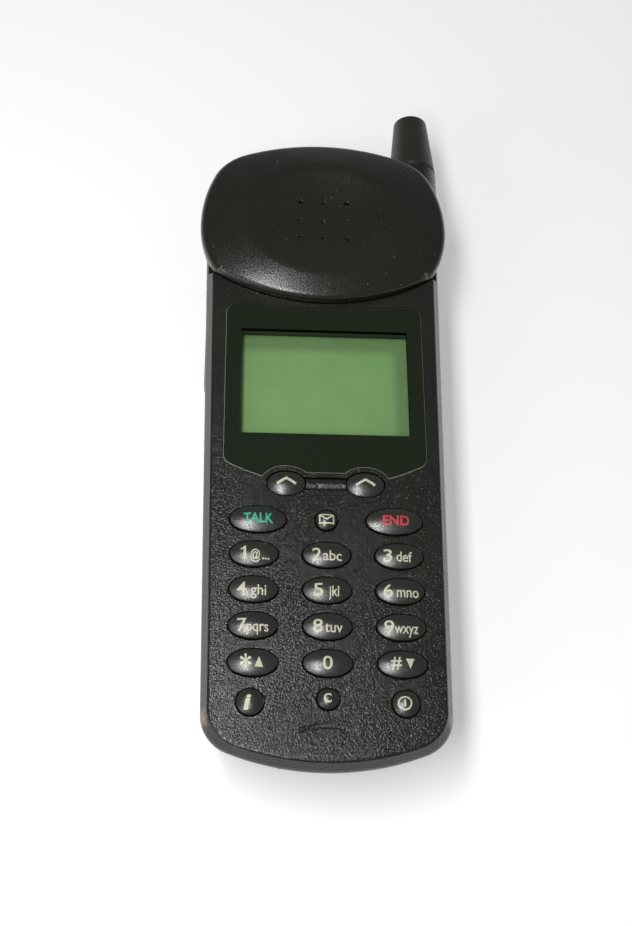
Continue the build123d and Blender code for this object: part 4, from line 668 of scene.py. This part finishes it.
# %% Rings, frames and arrows
def flat_frame(width, height, line, centre=(0, 0), sides=4):
    """A flat rectangle or ring with its middle removed."""
    bpy.ops.object.select_all(action="DESELECT")
    bpy.ops.mesh.primitive_circle_add(
        vertices=sides, radius=1.0, fill_type="NGON", location=(0, 0, 0))
    piece = bpy.context.object
    corner = sqrt(0.5) if sides == 4 else 1.0
    turn = pi / 4 if sides == 4 else 0.0
    bpy.ops.object.mode_set(mode="EDIT")
    bpy.ops.mesh.select_all(action="SELECT")
    bpy.ops.transform.rotate(value=turn, orient_axis="Z", center_override=(0, 0, 0))
    bpy.ops.transform.resize(value=(width / 2 / corner, height / 2 / corner, 1))
    bpy.ops.mesh.inset(thickness=line, depth=0)
    bpy.ops.mesh.delete(type="FACE")
    bpy.ops.mesh.select_all(action="SELECT")
    bpy.ops.transform.translate(value=(centre[0], centre[1], 0))
    bpy.ops.object.mode_set(mode="OBJECT")
    thicken(piece)
    return piece


def flat_arrow(centre, width, height, way):
    """A flat three-sided arrow that points up (way 1) or down (way -1)."""
    bpy.ops.object.select_all(action="DESELECT")
    bpy.ops.mesh.primitive_circle_add(
        vertices=3, radius=1.0, fill_type="NGON", location=(0, 0, 0))
    piece = bpy.context.object
    ys = [vertex.co.y for vertex in piece.data.vertices]
    xs = [vertex.co.x for vertex in piece.data.vertices]
    for vertex in piece.data.vertices:
        vertex.co.x = centre[0] + vertex.co.x / (max(xs) - min(xs)) * width
        up = (vertex.co.y - (max(ys) + min(ys)) / 2) / (max(ys) - min(ys))
        vertex.co.y = centre[1] + way * up * height
    only(piece)
    bpy.ops.object.mode_set(mode="EDIT")
    bpy.ops.mesh.select_all(action="SELECT")
    bpy.ops.mesh.normals_make_consistent(inside=False)
    bpy.ops.object.mode_set(mode="OBJECT")
    thicken(piece)
    return piece


print("helpers made: flat_frame, flat_arrow")

# %% Chevrons, arrows, envelope and power sign
CHEVRON_LINE = 0.62            # mm
SIGN_LINE = 0.32
POWER_X = -0.35                # mm, the power sign sits left of its key's centre

for side in ("left", "right"):
    arms = [flat_bar((-2.1, -0.35), (0.15, 1.05), CHEVRON_LINE),
            flat_bar((-0.15, 1.05), (2.1, -0.35), CHEVRON_LINE)]
    lay_on_key(join(arms, "sign_soft_" + side), "softkey_" + side, cream_paint)

for key, x, way in (("key_star", 1.30, 1), ("key_hash", 1.50, -1)):
    arrow = flat_arrow((x, -0.15), 1.80, 2.2, way)
    arrow.name = "sign_arrow_" + key[4:]
    lay_on_key(arrow, key, cream_paint)

envelope = [flat_frame(3.3, 2.25, SIGN_LINE)]
envelope += [flat_bar((-1.45, 0.9), (0.08, -0.2), SIGN_LINE),
             flat_bar((-0.08, -0.2), (1.45, 0.9), SIGN_LINE)]
lay_on_key(join(envelope, "sign_message"), "key_message", cream_paint)

power = [flat_frame(3.0, 3.0, 0.34, (POWER_X, -0.15), 32),
         flat_bar((POWER_X, -0.8), (POWER_X, 0.6), 0.4)]
lay_on_key(join(power, "sign_power"), "key_power", cream_paint)

# %% [markdown]
# ## Table and light
# A phone this dark is shaped by what it reflects. A long, narrow lamp stands above it on the
# left, where the flat face would mirror it just beyond the lower left corner, so the grain
# glitters there and fades towards the right and the window, and each domed key shows a gleam
# on its lower left. A broad lamp further out fills the sides. The sky is bright only near the
# horizon and dim overhead, because the face mirrors the part of it beyond the phone. The
# table's glow is seen by the camera and by mirroring and clear surfaces alone, so it adds
# to what the phone's sides mirror but not to the soft light on them.

# %% Table
GLOW_NEAR = 0.32
GLOW_FAR = 0.72
GLOW_REACH = 900.0             # mm
TABLE_COLOUR = (0.80, 0.80, 0.80)
TABLE_SIZE = 6.0               # metres
TABLE_SINK = 0.0001            # metres below the phone's back


def make_floor():
    """A pale table. The lamps leave its far part dim, so a glow that grows with distance
    keeps it pale to the viewer, while the phone's shadow stays."""
    finish, tree, shader = start_finish("pale_table", TABLE_COLOUR, 0.9)
    shader.inputs["Specular IOR Level"].default_value = 0.0
    shader.inputs["Emission Color"].default_value = (1.0, 1.0, 1.0, 1.0)
    rays = tree.nodes.new("ShaderNodeLightPath")
    seen = combine(tree, "MAXIMUM", rays.outputs["Is Camera Ray"], rays.outputs["Is Glossy Ray"])
    seen = combine(tree, "MAXIMUM", seen, rays.outputs["Is Transmission Ray"])
    glow = spread(tree, near_point(tree, (0, 0, 0), GLOW_REACH), 1.0, 0.0, GLOW_NEAR, GLOW_FAR)
    tree.links.new(combine(tree, "MULTIPLY", seen, glow), shader.inputs["Emission Strength"])
    bpy.ops.object.select_all(action="DESELECT")
    bpy.ops.mesh.primitive_plane_add(size=TABLE_SIZE, location=(0, 0, -TABLE_SINK))
    floor = bpy.context.object
    floor.name = "table"
    floor.data.materials.append(finish)


make_floor()
print("table: glow from", GLOW_NEAR, "at the phone to", GLOW_FAR, "far off")

# %% Lamps
def soft_lamp(name, place, target, size, power):
    """An area lamp that shines at the target, or straight down without one."""
    lamp_data = bpy.data.lights.new(name, "AREA")
    lamp_data.shape = "RECTANGLE"
    lamp_data.size, lamp_data.size_y = size
    lamp_data.energy = power
    lamp = bpy.data.objects.new(name, lamp_data)
    lamp.location = place
    if target:
        aim = Vector(target) - Vector(place)
        lamp.rotation_euler = aim.to_track_quat("-Z", "Y").to_euler()
    lamp.visible_camera = False
    scene.collection.objects.link(lamp)


soft_lamp("near_lamp", (-0.083, -0.096, 0.325), None, (0.06, 0.27), 0.92)
soft_lamp("side_lamp", (-0.45, -0.35, 0.35), (0, 0, 0.01), (0.30, 0.30), 0.5)
print("lamps:", len(bpy.data.lights))

# %% Sky
SKY_LOW = 0.7
SKY_HIGH = 0.22
DIM_FROM = 0.22                # how far up the sky has got dim: 0 is level, 1 is overhead

sky = bpy.data.worlds.new("pale_sky")
scene.world = sky
sky.use_nodes = True
sky_tree = sky.node_tree
backing = sky_tree.nodes["Background"]
backing.inputs["Color"].default_value = (1, 1, 1, 1)
looking = sky_tree.nodes.new("ShaderNodeTexCoord")
heights = sky_tree.nodes.new("ShaderNodeSeparateXYZ")
sky_tree.links.new(looking.outputs["Generated"], heights.inputs["Vector"])
sky_tree.links.new(spread(sky_tree, heights.outputs["Z"], 0.0, DIM_FROM, SKY_LOW, SKY_HIGH),
                   backing.inputs["Strength"])
scene.view_settings.view_transform = "Standard"
print("sky: from", SKY_LOW, "at the horizon to", SKY_HIGH, "overhead")
